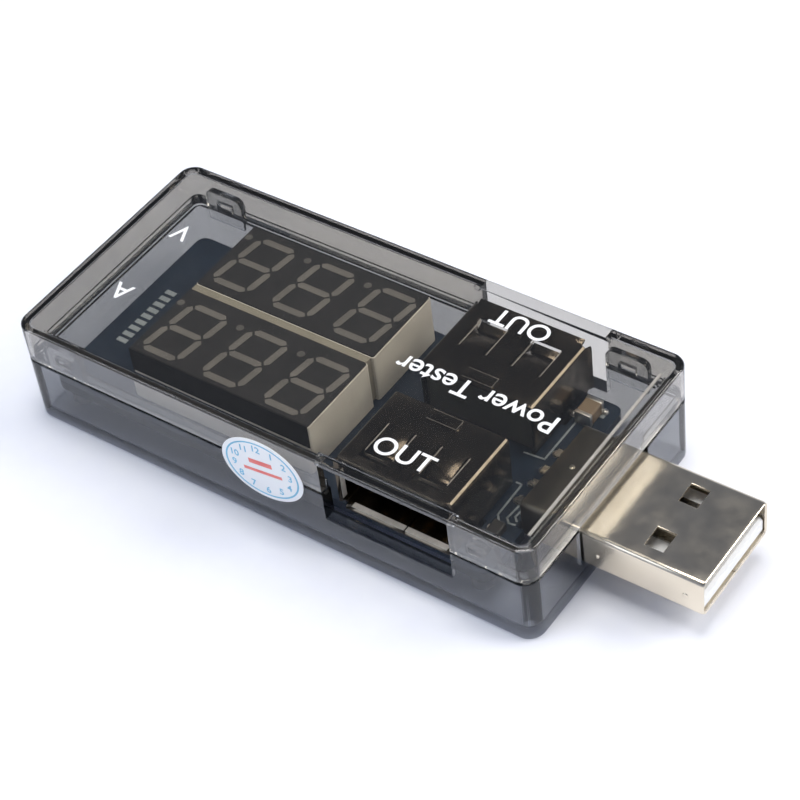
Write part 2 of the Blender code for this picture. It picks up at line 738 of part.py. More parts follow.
def make_board_parts():
    """Surface-mounted parts on both faces of the board."""
    under = BOARD_BOTTOM - CHIP_GAP
    over = BOARD_TOP + CHIP_GAP
    black = black_plastic()
    tan = tan_ceramic()
    lead_level = (under - LEAD_LEVEL[1], under - LEAD_LEVEL[0])
    for name, (middle, size, height, leads) in CHIPS_BELOW.items():
        paint = tan if "capacitor" in name else black
        make_chip(name, middle, size, (under - height, under), paint, leads, lead_level)
    for name, (middle, size, height) in CHIPS_ABOVE.items():
        paint = tan if "capacitor" in name else black
        make_chip(name, middle, size, (over, over + height), paint)
    x, y = SEGMENT_RESISTOR_START
    for number in range(SEGMENT_RESISTORS):
        middle = (x + SEGMENT_RESISTOR_PITCH * number, y)
        z_range = (under - SEGMENT_RESISTOR_HEIGHT, under)
        make_chip(f"segment_resistor_{number + 1}", middle, SEGMENT_RESISTOR_SIZE, z_range, black)


def make_label():
    """Thin oval paper seal that crosses the parting line of the near wall."""
    points = []
    for step in range(40):
        angle = 2 * pi * step / 40
        x = LABEL_SIZE[0] / 2 * cos(angle)
        z = LABEL_SIZE[1] / 2 * sin(angle)
        turned_x = x * cos(LABEL_TILT) - z * sin(LABEL_TILT)
        turned_z = x * sin(LABEL_TILT) + z * cos(LABEL_TILT)
        points.append((LABEL_CENTRE[0] + turned_x, LABEL_CENTRE[1] + turned_z))
    front = -CASE_SIDE - LABEL_GAP - LABEL_THICKNESS
    bm = bmesh.new()
    add_side_prism(bm, points, (front, front + LABEL_THICKNESS))
    finish(bm, "oval_label", paper_label())


def build():
    clear_scene()
    make_lower_case()
    make_upper_cover()
    make_board()
    for name, near_edge in DISPLAY_NEAR_EDGES.items():
        make_display(name, near_edge)
    make_plug_shell()
    make_plug_insulator()
    make_plug_contacts()
    for name, (centre, side) in SOCKETS.items():
        make_socket_shell(name, centre, side)
        make_socket_insulator(name, centre, side)
        make_socket_contacts(name, centre, side)
    make_board_parts()
    make_label()


build()
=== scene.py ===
"""Looks of the USB power meter: smoky clear covers over the board, displays, sockets and plug.

Sizes are in millimetres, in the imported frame's axes: +X out of the plug, -Y near side, +Z up.
"""

from math import cos, pi, radians, sin

import bmesh
import bpy
from mathutils import Matrix, Vector


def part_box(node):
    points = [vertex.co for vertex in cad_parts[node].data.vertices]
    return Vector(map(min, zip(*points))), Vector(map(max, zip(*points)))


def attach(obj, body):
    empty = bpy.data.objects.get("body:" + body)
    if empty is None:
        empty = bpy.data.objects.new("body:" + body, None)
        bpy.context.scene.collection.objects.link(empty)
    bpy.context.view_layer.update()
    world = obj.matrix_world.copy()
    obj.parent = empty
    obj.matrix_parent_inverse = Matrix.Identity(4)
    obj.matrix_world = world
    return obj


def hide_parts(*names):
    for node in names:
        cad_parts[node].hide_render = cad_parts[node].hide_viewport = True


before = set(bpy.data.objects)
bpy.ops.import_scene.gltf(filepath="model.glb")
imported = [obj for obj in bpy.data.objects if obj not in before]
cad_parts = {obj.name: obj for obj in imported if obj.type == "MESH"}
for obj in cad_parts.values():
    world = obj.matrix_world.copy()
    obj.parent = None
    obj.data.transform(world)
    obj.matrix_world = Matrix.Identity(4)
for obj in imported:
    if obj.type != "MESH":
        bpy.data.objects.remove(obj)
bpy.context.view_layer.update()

MM = 0.001
BODY = "root"


def box(node):
    """Lowest and highest corner of a CAD node, in millimetres."""
    low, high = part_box(node)
    return tuple(v / MM for v in low), tuple(v / MM for v in high)


# ---------------------------------------------------------------- sizes read from the CAD

CASE_X, CASE_Y, COVER_Z = zip(*box("upper_cover"))
CASE_BOTTOM = box("lower_case")[0][2]
BOARD_LOW, BOARD_HIGH = box("circuit_board")
BOARD_FACE = BOARD_HIGH[2]
# the white print lies on the cover's top, and the two together fill the CAD's height
PRINT = 0.012
TOP = COVER_Z[1] - PRINT
COVER_BOTTOM = COVER_Z[0]


# ---------------------------------------------------------------- mesh helpers

SHARP_ANGLE = radians(35.0)
BEVELLED_SHARP_ANGLE = radians(32.0)


def to_object(bm, name, smooth=True, closed=True):
    """An object from a mesh drawn in millimetres; a closed mesh gets its faces pointing out."""
    if closed:
        bmesh.ops.recalc_face_normals(bm, faces=bm.faces)
    bmesh.ops.scale(bm, vec=(MM, MM, MM), verts=bm.verts)
    mesh = bpy.data.meshes.new(name)
    bm.to_mesh(mesh)
    bm.free()
    if smooth:
        mesh.shade_smooth()
        mesh.set_sharp_from_angle(angle=SHARP_ANGLE)
    made = bpy.data.objects.new(name, mesh)
    bpy.context.scene.collection.objects.link(made)
    return made


def settle(piece):
    """Applies the piece's modifiers."""
    bpy.context.view_layer.update()
    shape = piece.evaluated_get(bpy.context.evaluated_depsgraph_get())
    mesh = bpy.data.meshes.new_from_object(shape)
    mesh.name = piece.name
    piece.modifiers.clear()
    old = piece.data
    piece.data = mesh
    bpy.data.meshes.remove(old)


def boolean(target, tool, operation):
    """Cuts the tool out of the target, or joins it on, and removes the tool."""
    change = target.modifiers.new("cut", "BOOLEAN")
    change.operation = operation
    change.solver = "EXACT"
    change.object = tool
    settle(target)
    bpy.data.objects.remove(tool, do_unlink=True)


def bevel(piece, width):
    """Rounds the sharp edges with two segments, and shades the result smooth."""
    edge = piece.modifiers.new("bevel", "BEVEL")
    edge.width = width * MM
    edge.segments = 2
    edge.limit_method = "ANGLE"
    edge.angle_limit = SHARP_ANGLE
    edge.use_clamp_overlap = True
    settle(piece)
    piece.data.shade_smooth()
    piece.data.set_sharp_from_angle(angle=BEVELLED_SHARP_ANGLE)


def keep_flat(piece, area=1.5):
    """Shades the faces larger than an area in square millimetres flat.

    Smooth shading would tilt a clear piece's large faces, and bend the view through them.
    """
    for face in piece.data.polygons:
        face.use_smooth = face.area < area * MM * MM


def show(piece, slot, paint, *nodes):
    """Puts the piece on the meter's body with its finish, in place of the CAD nodes named."""
    piece.data.materials.clear()
    piece.data.materials.append(paint)
    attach(piece, BODY)
    if nodes:
        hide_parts(*nodes)


def paint_node(name, paint):
    """Gives a CAD node that stays as it is its finish."""
    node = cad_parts[name]
    node.data.materials.clear()
    node.data.materials.append(paint)


def side_range(side, first, second):
    """A range of Y between two distances from the middle, on the near (-1) or far (1) side."""
    return sorted((side * first, side * second))


def rounded_outline(x_range, y_range, radius, steps):
    """A rectangle with round corners, from the +X +Y corner on."""
    centres = (
        (x_range[1] - radius, y_range[1] - radius, 0.0),
        (x_range[0] + radius, y_range[1] - radius, pi / 2),
        (x_range[0] + radius, y_range[0] + radius, pi),
        (x_range[1] - radius, y_range[0] + radius, 1.5 * pi),
    )
    points = []
    for x, y, start in centres:
        for step in range(steps + 1):
            angle = start + pi / 2 * step / steps
            points.append((x + radius * cos(angle), y + radius * sin(angle)))
    return points


def bridge(bm, low, high):
    """Faces between two rings of as many corners."""
    count = len(low)
    for index in range(count):
        after = (index + 1) % count
        bm.faces.new((low[index], low[after], high[after], high[index]))


def add_loft(bm, rings):
    """A solid through the rings, closed at both ends."""
    loops = [[bm.verts.new(point) for point in ring] for ring in rings]
    for low, high in zip(loops, loops[1:]):
        bridge(bm, low, high)
    bm.faces.new(list(reversed(loops[0])))
    bm.faces.new(loops[-1])


def add_band(bm, rings):
    """A hoop through the rings, the last of which joins the first."""
    loops = [[bm.verts.new(point) for point in ring] for ring in rings]
    for low, high in zip(loops, loops[1:] + loops[:1]):
        bridge(bm, low, high)


def add_prism(bm, outline, z_range):
    add_loft(bm, [[(x, y, z) for x, y in outline] for z in z_range])


def add_side_prism(bm, outline, y_range):
    """A prism whose outline stands upright, along X and Z."""
    add_loft(bm, [[(x, y, z) for x, z in outline] for y in y_range])


def add_box(bm, x_range, y_range, z_range):
    (x0, x1), (y0, y1) = x_range, y_range
    add_prism(bm, [(x0, y0), (x1, y0), (x1, y1), (x0, y1)], z_range)


def round_points(x, y, radius, steps=20):
    angles = [2 * pi * step / steps for step in range(steps)]
    return [(x + radius * cos(angle), y + radius * sin(angle)) for angle in angles]


# ---------------------------------------------------------------- materials

# most of a noise's values lie between these
NOISE_RANGE = (0.3, 0.7)
RAMP_RANGE = (0.32, 0.68)
# cells to the metre in the noise of the colour and the roughness, and for metal the relief
PLASTIC_GRAIN = (350.0, 900.0)
METAL_GRAIN = (260.0, 600.0, 5000.0)
CLEAR_GRAIN = 180.0
PLASTIC_RELIEF = 0.35
METAL_RELIEF = 0.12


def nodes_of(name):
    """A new material with its node tree and its Principled shader."""
    made = bpy.data.materials.new(name)
    made.use_nodes = True
    tree = made.node_tree
    return made, tree, tree.nodes["Principled BSDF"]


def noise(tree, scale, detail=2.0):
    """Noise fixed to the piece, so many cells to the metre."""
    coords = tree.nodes.new("ShaderNodeTexCoord")
    texture = tree.nodes.new("ShaderNodeTexNoise")
    texture.inputs["Scale"].default_value = scale
    texture.inputs["Detail"].default_value = detail
    tree.links.new(coords.outputs["Object"], texture.inputs["Vector"])
    return texture.outputs["Fac"]


def spread(tree, source, low, high):
    """Maps the noise to a narrow range of numbers."""
    node = tree.nodes.new("ShaderNodeMapRange")
    node.inputs["From Min"].default_value = NOISE_RANGE[0]
    node.inputs["From Max"].default_value = NOISE_RANGE[1]
    node.inputs["To Min"].default_value = low
    node.inputs["To Max"].default_value = high
    tree.links.new(source, node.inputs["Value"])
    return node.outputs["Result"]


def blend_colours(tree, source, first, second):
    """Maps the noise to the colours between two."""
    ramp = tree.nodes.new("ShaderNodeValToRGB")
    for element, position, colour in zip(ramp.color_ramp.elements, RAMP_RANGE, (first, second)):
        element.position = position
        element.color = (*colour, 1.0)
    tree.links.new(source, ramp.inputs["Fac"])
    return ramp.outputs["Color"]


def bump(tree, shader, source, strength, distance):
    """Fine relief, its depth in millimetres."""
    node = tree.nodes.new("ShaderNodeBump")
    node.inputs["Strength"].default_value = strength
    node.inputs["Distance"].default_value = distance * MM
    tree.links.new(source, node.inputs["Height"])
    tree.links.new(node.outputs["Normal"], shader.inputs["Normal"])


def moulded(name, first, second, roughness, grain=2500.0, depth=0.01, specular=0.5):
    """Opaque plastic, lacquer or paper with a fine grain."""
    made, tree, shader = nodes_of(name)
    shader.inputs["Specular IOR Level"].default_value = specular
    colour = blend_colours(tree, noise(tree, PLASTIC_GRAIN[0]), first, second)
    tree.links.new(colour, shader.inputs["Base Color"])
    tree.links.new(spread(tree, noise(tree, PLASTIC_GRAIN[1]), *roughness), shader.inputs["Roughness"])
    bump(tree, shader, noise(tree, grain), PLASTIC_RELIEF, depth)
    return made


def metal(name, first, second, roughness, depth=0.003):
    """Plated sheet with a faint grain."""
    made, tree, shader = nodes_of(name)
    shader.inputs["Metallic"].default_value = 1.0
    colour = blend_colours(tree, noise(tree, METAL_GRAIN[0]), first, second)
    tree.links.new(colour, shader.inputs["Base Color"])
    fine = noise(tree, METAL_GRAIN[1], detail=3.0)
    tree.links.new(spread(tree, fine, *roughness), shader.inputs["Roughness"])
    bump(tree, shader, noise(tree, METAL_GRAIN[2]), METAL_RELIEF, depth)
    return made


HAZE = 0.005
ACRYLIC_IOR = 1.49
# how far behind an outer face the veil still counts as on it
FACE_DEPTH = 0.02
MILK = (0.86, 0.84, 0.83)


def calculate(tree, operation, first, second):
    """One step of arithmetic on a node's output; the second term may be a plain number."""
    node = tree.nodes.new("ShaderNodeMath")
    node.operation = operation
    tree.links.new(first, node.inputs[0])
    if isinstance(second, float):
        node.inputs[1].default_value = second
    else:
        tree.links.new(second, node.inputs[1])
    return node.outputs["Value"]


def veiled(tree, surface, frost):
    """Lays a faint milky look over the outside of the near long wall and the plug end."""
    place = tree.nodes.new("ShaderNodeTexCoord")
    axes = tree.nodes.new("ShaderNodeSeparateXYZ")
    tree.links.new(place.outputs["Object"], axes.inputs["Vector"])
    near_wall = calculate(tree, "LESS_THAN", axes.outputs["Y"], (CASE_Y[0] + FACE_DEPTH) * MM)
    plug_end = calculate(tree, "GREATER_THAN", axes.outputs["X"], (CASE_X[1] - FACE_DEPTH) * MM)
    either = calculate(tree, "MAXIMUM", near_wall, plug_end)
    milk = tree.nodes.new("ShaderNodeBsdfDiffuse")
    milk.inputs["Color"].default_value = (*MILK, 1.0)
    veil = tree.nodes.new("ShaderNodeMixShader")
    tree.links.new(calculate(tree, "MULTIPLY", either, frost), veil.inputs["Fac"])
    tree.links.new(surface, veil.inputs[1])
    tree.links.new(milk.outputs["BSDF"], veil.inputs[2])
    return veil.outputs["Shader"]


def smoky(name, skin, tint, density, roughness, frost=0.0):
    """Clear grey plastic: darker the longer the way through it, and lamps reach what is inside."""
    made, tree, shader = nodes_of(name)
    shader.inputs["Base Color"].default_value = (*skin, 1.0)
    shader.inputs["Transmission Weight"].default_value = 1.0 - HAZE
    shader.inputs["IOR"].default_value = ACRYLIC_IOR
    tree.links.new(spread(tree, noise(tree, CLEAR_GRAIN), *roughness), shader.inputs["Roughness"])
    surface = shader.outputs["BSDF"]
    if frost:
        surface = veiled(tree, surface, frost)
    path = tree.nodes.new("ShaderNodeLightPath")
    clear = tree.nodes.new("ShaderNodeBsdfTransparent")
    mix = tree.nodes.new("ShaderNodeMixShader")
    output = tree.nodes["Material Output"]
    tree.links.new(path.outputs["Is Shadow Ray"], mix.inputs["Fac"])
    tree.links.new(surface, mix.inputs[1])
    tree.links.new(clear.outputs["BSDF"], mix.inputs[2])
    tree.links.new(mix.outputs["Shader"], output.inputs["Surface"])
    volume = tree.nodes.new("ShaderNodeVolumeAbsorption")
    volume.inputs["Color"].default_value = (*tint, 1.0)
    volume.inputs["Density"].default_value = density
    tree.links.new(volume.outputs["Volume"], output.inputs["Volume"])
    return made


# a clear plastic's skin, its tint and density inside, and its range of roughness
COVER = smoky("smoky_cover", (0.71, 0.695, 0.66), (0.42, 0.40, 0.38), 380.0, (0.015, 0.035),
              frost=0.12)
CASE = smoky("smoky_case", (1.0, 1.0, 1.0), (0.37, 0.39, 0.42), 720.0, (0.02, 0.045))
# other finishes: the two colours that they vary between, and their range of roughness
NICKEL = metal("nickel", (0.74, 0.66, 0.53), (0.78, 0.70, 0.57), (0.20, 0.27))
# painted shade: the plug's nickel made nearly black where the shell lies inside the case
NICKEL_IN_SHADE = metal("nickel_painted_shade", (0.16, 0.145, 0.12), (0.20, 0.18, 0.15), (0.28, 0.36))
BLADE = metal("plug_blade", (0.34, 0.32, 0.29), (0.42, 0.40, 0.36), (0.2, 0.3))
SOCKET_TIN = metal("socket_tin", (0.10, 0.083, 0.064), (0.15, 0.125, 0.098), (0.16, 0.22))
# painted highlight: a bright strip standing in for the key lamp's reflection on the socket shell's bend
BEND_HIGHLIGHT = moulded("painted_highlight_bend", (0.40, 0.315, 0.21), (0.56, 0.46, 0.33), (0.2, 0.3), depth=0.003)
# painted highlight: a lit, pale copy of the socket metal for the front of each mouth
LIP = moulded("painted_highlight_lip", (0.42, 0.39, 0.34), (0.60, 0.56, 0.50), (0.2, 0.35), depth=0.004)
# painted highlight: strips on the pad's edges that face the key lamp
PAD_HIGHLIGHT = moulded("painted_highlight_pad", (0.07, 0.064, 0.058), (0.12, 0.11, 0.10), (0.2, 0.35), depth=0.003)
# painted highlight: pale strips on one edge of each slit in the socket tops
SLIT_HIGHLIGHT = moulded("painted_highlight_slit", (0.24, 0.22, 0.20), (0.34, 0.31, 0.28), (0.2, 0.35), depth=0.003)
GOLD = metal("gold", (0.62, 0.44, 0.18), (0.70, 0.52, 0.24), (0.2, 0.3))
TIN = metal("solder_tin", (0.66, 0.64, 0.60), (0.74, 0.72, 0.68), (0.25, 0.4), depth=0.02)
BOARD = moulded("solder_mask", (0.007, 0.015, 0.030), (0.009, 0.019, 0.036), (0.3, 0.4),
                depth=0.001, specular=0.35)
# painted shade: the cream moulding made much darker, for the rib in the gap between the display rows
SHADED_RIB = moulded("cream_rib_painted_shade", (0.225, 0.205, 0.16), (0.265, 0.24, 0.19), (0.42, 0.56))
CREAM = moulded("cream_moulding", (0.63, 0.59, 0.52), (0.72, 0.68, 0.60), (0.42, 0.56))
FILM = moulded("face_film", (0.012, 0.0115, 0.012), (0.016, 0.0153, 0.016), (0.5, 0.6),
               depth=0.001, specular=0.35)
# painted shade: a near-black strip on the near side of the lower display row, which the lamps leave dark
SHADE = moulded("side_painted_shade", (0.003, 0.003, 0.004), (0.005, 0.005, 0.006), (0.5, 0.6),
                depth=0.002, specular=0.2)
SEGMENT = moulded("unlit_segment", (0.112, 0.104, 0.094), (0.137, 0.128, 0.115), (0.45, 0.55), depth=0.003)
POINT = moulded("unlit_point", (0.075, 0.07, 0.065), (0.09, 0.085, 0.078), (0.45, 0.55), depth=0.003)
WHITE = moulded("white_moulding", (0.86, 0.86, 0.85), (0.90, 0.90, 0.89), (0.4, 0.5))
BLACK = moulded("black_moulding", (0.014, 0.013, 0.013), (0.020, 0.019, 0.019), (0.34, 0.48))
TONGUE = moulded("tongue_moulding", (0.045, 0.043, 0.035), (0.060, 0.057, 0.046), (0.34, 0.48))
TAN = moulded("tan_ceramic", (0.17, 0.12, 0.075), (0.22, 0.16, 0.10), (0.4, 0.6))
PAPER = moulded("label_paper", (0.93, 0.94, 0.94), (0.95, 0.96, 0.96), (0.3, 0.45), depth=0.003)
INK_WHITE = moulded("white_ink", (0.88, 0.88, 0.88), (0.93, 0.93, 0.93), (0.4, 0.5), depth=0.003)
INK_BLUE = moulded("blue_ink", (0.16, 0.48, 0.68), (0.22, 0.56, 0.76), (0.4, 0.5), depth=0.003)
INK_RED = moulded("red_ink", (0.84, 0.16, 0.14), (0.88, 0.24, 0.2), (0.4, 0.5), depth=0.003)
# painted highlight: a pale strip for the bright line at the inner corner of the plug-end wall
END_HIGHLIGHT = moulded("painted_highlight_edge", (0.40, 0.395, 0.395), (0.52, 0.51, 0.51), (0.3, 0.45), depth=0.004)
SILK = moulded("silk_print", (0.22, 0.25, 0.26), (0.30, 0.33, 0.34), (0.45, 0.6), depth=0.003)


# ---------------------------------------------------------------- covers

SPLIT_GAP = 0.24
CASE_TOP = COVER_BOTTOM - SPLIT_GAP
ABOVE = TOP + 5.0
CORNER = 1.8
LEAST_CORNER = 0.4
EDGE_BEVEL = 0.07
COVER_WALL = 0.85
COVER_PLATE = 0.5
LIP_INSET = 0.97
LIP_WALL = 0.16
CASE_WALL = 1.4
PORT_RIM = 1.3
LIP_TOP = 9.4
FLOOR = 1.2
TAB_X = (-32.0, 18.2)
TAB_WIDTH = 4.8
TAB_THICKNESS = 0.75
TAB_TOP = 11.2
TAB_ROUND = 0.9
# length and height of the windows in the tabs, and of the cover's bumps that sit in them
TAB_WINDOW = (1.9, 1.1)
BUMP = (1.7, 0.9)
BUMP_RISE = 0.5
TAB_WINDOW_Z = 9.4
PORT_X = (0.87, 15.6)
PORT_Z = (4.7, 12.15)
PLUG_CLEARANCE = 0.15
POST_FROM_ENDS = (1.7, 1.9)
POST_Y = 10.2
POST_RADIUS = 1.2
SADDLE_X = (20.0, 21.4)
SADDLE_HALF_WIDTH = 5.2
REST_GAP = 0.1


def case_body(bm, inset, z_range, bottom_round=0.0, top_round=0.0, steps=6):
    """The case's outer shape, smaller by an inset, with its bottom and top edges rounded."""
    levels = []
    for step in range(steps + 1 if bottom_round else 1):
        angle = pi / 2 * step / steps
        levels.append((bottom_round * (1 - sin(angle)), z_range[0] + bottom_round * (1 - cos(angle))))
    for step in range(steps + 1 if top_round else 1):
        angle = pi / 2 * step / steps
        levels.append((top_round * (1 - cos(angle)), z_range[1] - top_round * (1 - sin(angle))))
    rings = []
    for shrink, z in levels:
        total = inset + shrink
        x_range = (CASE_X[0] + total, CASE_X[1] - total)
        y_range = (CASE_Y[0] + total, CASE_Y[1] - total)
        outline = rounded_outline(x_range, y_range, max(CORNER - total, LEAST_CORNER), 10)
        rings.append([(x, y, z) for x, y in outline])
    add_loft(bm, rings)


def port_cutter(z_range):
    """Cuts the openings for both sockets through the long walls."""
    bm = bmesh.new()
    edge = CASE_Y[1]
    for side in (-1, 1):
        add_box(bm, PORT_X, side_range(side, edge - CASE_WALL - 1.3, edge + 1.0), z_range)
    return to_object(bm, "cutter_ports")


def tab_outline(centre):
    """A snap tab seen from the side: round at its top, and rooted below the lip."""
    half = TAB_WIDTH / 2
    x_range = (centre - half, centre + half)
    corners = rounded_outline(x_range, (LIP_TOP - 2.5, TAB_TOP), TAB_ROUND, 5)
    root = CASE_TOP - 0.9
    return [point for point in corners if point[1] > LIP_TOP] + [(x, root) for x in x_range]


def add_at_tabs(bm, size, y_reach):
    """A box of a length and height at each tab, over the same reach of Y on both sides."""
    half_x, half_z = size[0] / 2, size[1] / 2
    z_range = (TAB_WINDOW_Z - half_z, TAB_WINDOW_Z + half_z)
    for centre in TAB_X:
        for side in (-1, 1):
            add_box(bm, (centre - half_x, centre + half_x), side_range(side, *y_reach), z_range)


def make_cover():
    """The upper cover: a thin shell, rims over the ports, port openings and four snap bumps."""
    bm = bmesh.new()
    case_body(bm, 0.0, (COVER_BOTTOM, TOP), bottom_round=0.12, top_round=0.3)
    cover = to_object(bm, "cover_shell")
    bm = bmesh.new()
    case_body(bm, COVER_WALL, (COVER_BOTTOM - 2.0, TOP - COVER_PLATE), top_round=0.25, steps=3)
    boolean(cover, to_object(bm, "cutter_inside"), "DIFFERENCE")
    bm = bmesh.new()
    for side in (-1, 1):
        y_range = side_range(side, CASE_Y[1] - PORT_RIM, CASE_Y[1] - COVER_WALL / 2)
        z_range = (PORT_Z[1] - 0.4, TOP - COVER_PLATE / 2)
        add_box(bm, (PORT_X[0] - 0.6, PORT_X[1] + 0.6), y_range, z_range)
    boolean(cover, to_object(bm, "joined_port_rims"), "UNION")
    boolean(cover, port_cutter((COVER_BOTTOM - 2.0, PORT_Z[1])), "DIFFERENCE")
    bm = bmesh.new()
    wall = CASE_Y[1] - COVER_WALL
    add_at_tabs(bm, BUMP, (wall - BUMP_RISE, wall + COVER_WALL / 2))
    boolean(cover, to_object(bm, "joined_bumps"), "UNION")
    bevel(cover, EDGE_BEVEL)
    keep_flat(cover)
    show(cover, "smoky_plastic", COVER, "upper_cover")


def make_case():
    """The lower case: a tray with a thin lip, four snap tabs, posts, and openings for the ports."""
    bm = bmesh.new()
    case_body(bm, 0.0, (CASE_BOTTOM, CASE_TOP), bottom_round=0.6, top_round=0.12)
    case = to_object(bm, "case_shell")
    bm = bmesh.new()
    case_body(bm, LIP_INSET, (CASE_TOP - 1.8, LIP_TOP))
    boolean(case, to_object(bm, "joined_lip"), "UNION")

    bm = bmesh.new()
    outer = CASE_Y[1] - LIP_INSET
    for centre in TAB_X:
        for side in (-1, 1):
            add_side_prism(bm, tab_outline(centre), side_range(side, outer - TAB_THICKNESS, outer))
    tabs = to_object(bm, "joined_tabs")
    bm = bmesh.new()
    case_body(bm, CASE_WALL, (FLOOR, ABOVE), bottom_round=0.3, steps=3)
    boolean(case, to_object(bm, "cutter_hollow"), "DIFFERENCE")
    bm = bmesh.new()
    inset = LIP_INSET + LIP_WALL
    x_range = (CASE_X[0] + inset, CASE_X[1] - inset)
    y_range = (CASE_Y[0] + inset, CASE_Y[1] - inset)
    outline = rounded_outline(x_range, y_range, CORNER - LIP_INSET + 0.1, 10)
    add_prism(bm, outline, (CASE_TOP - 0.1, LIP_TOP + 0.1))
    boolean(case, to_object(bm, "cutter_lip"), "DIFFERENCE")
    boolean(case, tabs, "UNION")

    plug_low, plug_high = box("plug_shell")
    bm = bmesh.new()
    for x in (BOARD_LOW[0] + POST_FROM_ENDS[0], BOARD_HIGH[0] - POST_FROM_ENDS[1]):
        for y in (-POST_Y, POST_Y):
            post = round_points(x, y, POST_RADIUS)
            add_prism(bm, post, (FLOOR - 0.5, BOARD_LOW[2] - REST_GAP))
    saddle_z = (FLOOR - 0.5, plug_low[2] - REST_GAP)
    add_box(bm, SADDLE_X, (-SADDLE_HALF_WIDTH, SADDLE_HALF_WIDTH), saddle_z)
    boolean(case, to_object(bm, "joined_posts"), "UNION")

    bm = bmesh.new()
    add_at_tabs(bm, TAB_WINDOW, (CASE_Y[1] - CASE_WALL - 1.0, CASE_Y[1]))
    boolean(case, to_object(bm, "cutter_tab_windows"), "DIFFERENCE")
    boolean(case, port_cutter((PORT_Z[0], ABOVE)), "DIFFERENCE")
    bm = bmesh.new()
    x_range = (CASE_X[1] - CASE_WALL - 0.8, CASE_X[1] + 1.0)
    half = plug_high[1] + PLUG_CLEARANCE
    add_box(bm, x_range, (-half, half), (plug_low[2] - PLUG_CLEARANCE, ABOVE))
    boolean(case, to_object(bm, "cutter_plug_notch"), "DIFFERENCE")
    bevel(case, EDGE_BEVEL)
    keep_flat(case)
    show(case, "smoky_plastic", CASE, "lower_case")


# ---------------------------------------------------------------- displays

DIGIT_PITCH = 7.7
DIGIT_HEIGHT = 7.95
DIGIT_WIDTH = 4.4
SEGMENT_WIDTH = 0.76
SEGMENT_SPACE = 0.17
DIGIT_LEAN = radians(7.5)
DIGIT_SHIFT = {"volt": (0.2, 0.0), "amp": (0.15, -0.5)}
DIGIT_RISE = 0.02
POINT_PLACE = (-3.2, 3.3)
POINT_RADIUS = 0.42
# lowest height of the painted shade on the near side of the lower row
SIDE_SHADE_BOTTOM = 7.9


def digit_outlines():
    """The seven bars of one digit about its centre, before it leans."""
    half_w = SEGMENT_WIDTH / 2
    reach_y = DIGIT_HEIGHT / 2 - half_w
    reach_x = DIGIT_WIDTH / 2
    bars = []
    for y in (-reach_y, 0.0, reach_y):
        bars.append((0.0, y, reach_x - SEGMENT_SPACE, False))
    for x in (-reach_x, reach_x):
        for way in (-1, 1):
            bars.append((x, way * reach_y / 2, reach_y / 2 - SEGMENT_SPACE, True))
    outlines = []
    for x0, y0, half_length, upright in bars:
        shoulder = half_length - half_w
        shape = [
            (-half_length, 0.0), (-shoulder, -half_w), (shoulder, -half_w),
            (half_length, 0.0), (shoulder, half_w), (-shoulder, half_w),
        ]
        if upright:
            outlines.append([(x0 + across, y0 + along) for along, across in shape])
        else:
            outlines.append([(x0 + along, y0 + across) for along, across in shape])
    return outlines


def make_display_print(name):
    """Three unlit digits, each with its point, on a display's face."""
    low, high = box(f"{name}_display_face")
    shift = DIGIT_SHIFT[name]
    middle = ((low[0] + high[0]) / 2 + shift[0], (low[1] + high[1]) / 2 + shift[1])
    level = (high[2] - DIGIT_RISE, high[2] + DIGIT_RISE)
    bars = bmesh.new()
    points = bmesh.new()
    for column in (-1, 0, 1):
        x0 = middle[0] + column * DIGIT_PITCH
        for outline in digit_outlines():
            leaning = [(x0 + x + y * sin(DIGIT_LEAN), middle[1] + y) for x, y in outline]
            add_prism(bars, leaning, level)
        point = round_points(x0 + POINT_PLACE[0], middle[1] + POINT_PLACE[1], POINT_RADIUS)
        add_prism(points, point, level)
    show(to_object(bars, f"{name}_segments", smooth=False), "cream_plastic", SEGMENT)
    show(to_object(points, f"{name}_points", smooth=False), "cream_plastic", POINT)


def make_display_sides():
    """Painted shade: a black strip down the near side of the lower row, and the rib between the rows in a
    darker cream.
    """
    low, high = box("amp_display_housing")
    face_top = box("amp_display_face")[1][2]
    # painted shade: a near-black strip on the near side of the lower row's housing
    bm = bmesh.new()
    y_range = (low[1] - 0.05, low[1] + 0.12)
    add_box(bm, (low[0] + 0.05, high[0] - 0.15), y_range, (SIDE_SHADE_BOTTOM, face_top + 0.005))
    show(to_object(bm, "amp_display_painted_shade", smooth=False), "dark_face_film", SHADE)
    # the rib between the rows is painted shade, a darker cream
    bm = bmesh.new()
    y_range = (high[1] + 0.01, box("volt_display_housing")[0][1] - 0.01)
    add_box(bm, (low[0] + 0.1, high[0] - 0.35), y_range, (BOARD_FACE + 0.4, high[2] + 0.02))
    show(to_object(bm, "display_row_rib"), "cream_plastic", SHADED_RIB)


def make_displays():
    for name in ("volt", "amp"):
        paint_node(f"{name}_display_face", FILM)
        paint_node(f"{name}_display_housing", CREAM)
        make_display_print(name)
    make_display_sides()


# ---------------------------------------------------------------- printing

CAPITAL_SHARE = 0.69
# name, words, centre, height, turn and added weight
PRINTED_WORDS = (
    ("print_volts", "V", (-30.95, 4.95), 2.15, pi, 0.03),
    ("print_amps", "A", (-30.85, -5.2), 2.15, pi, 0.03),
    ("print_near_out", "OUT", (7.6, -9.6), 2.15, 0.0, 0.03),
    ("print_far_out", "OUT", (7.7, 10.4), 2.15, pi, 0.03),
    ("print_title", "Power Tester", (8.85, 0.4), 2.25, pi, 0.035),
)


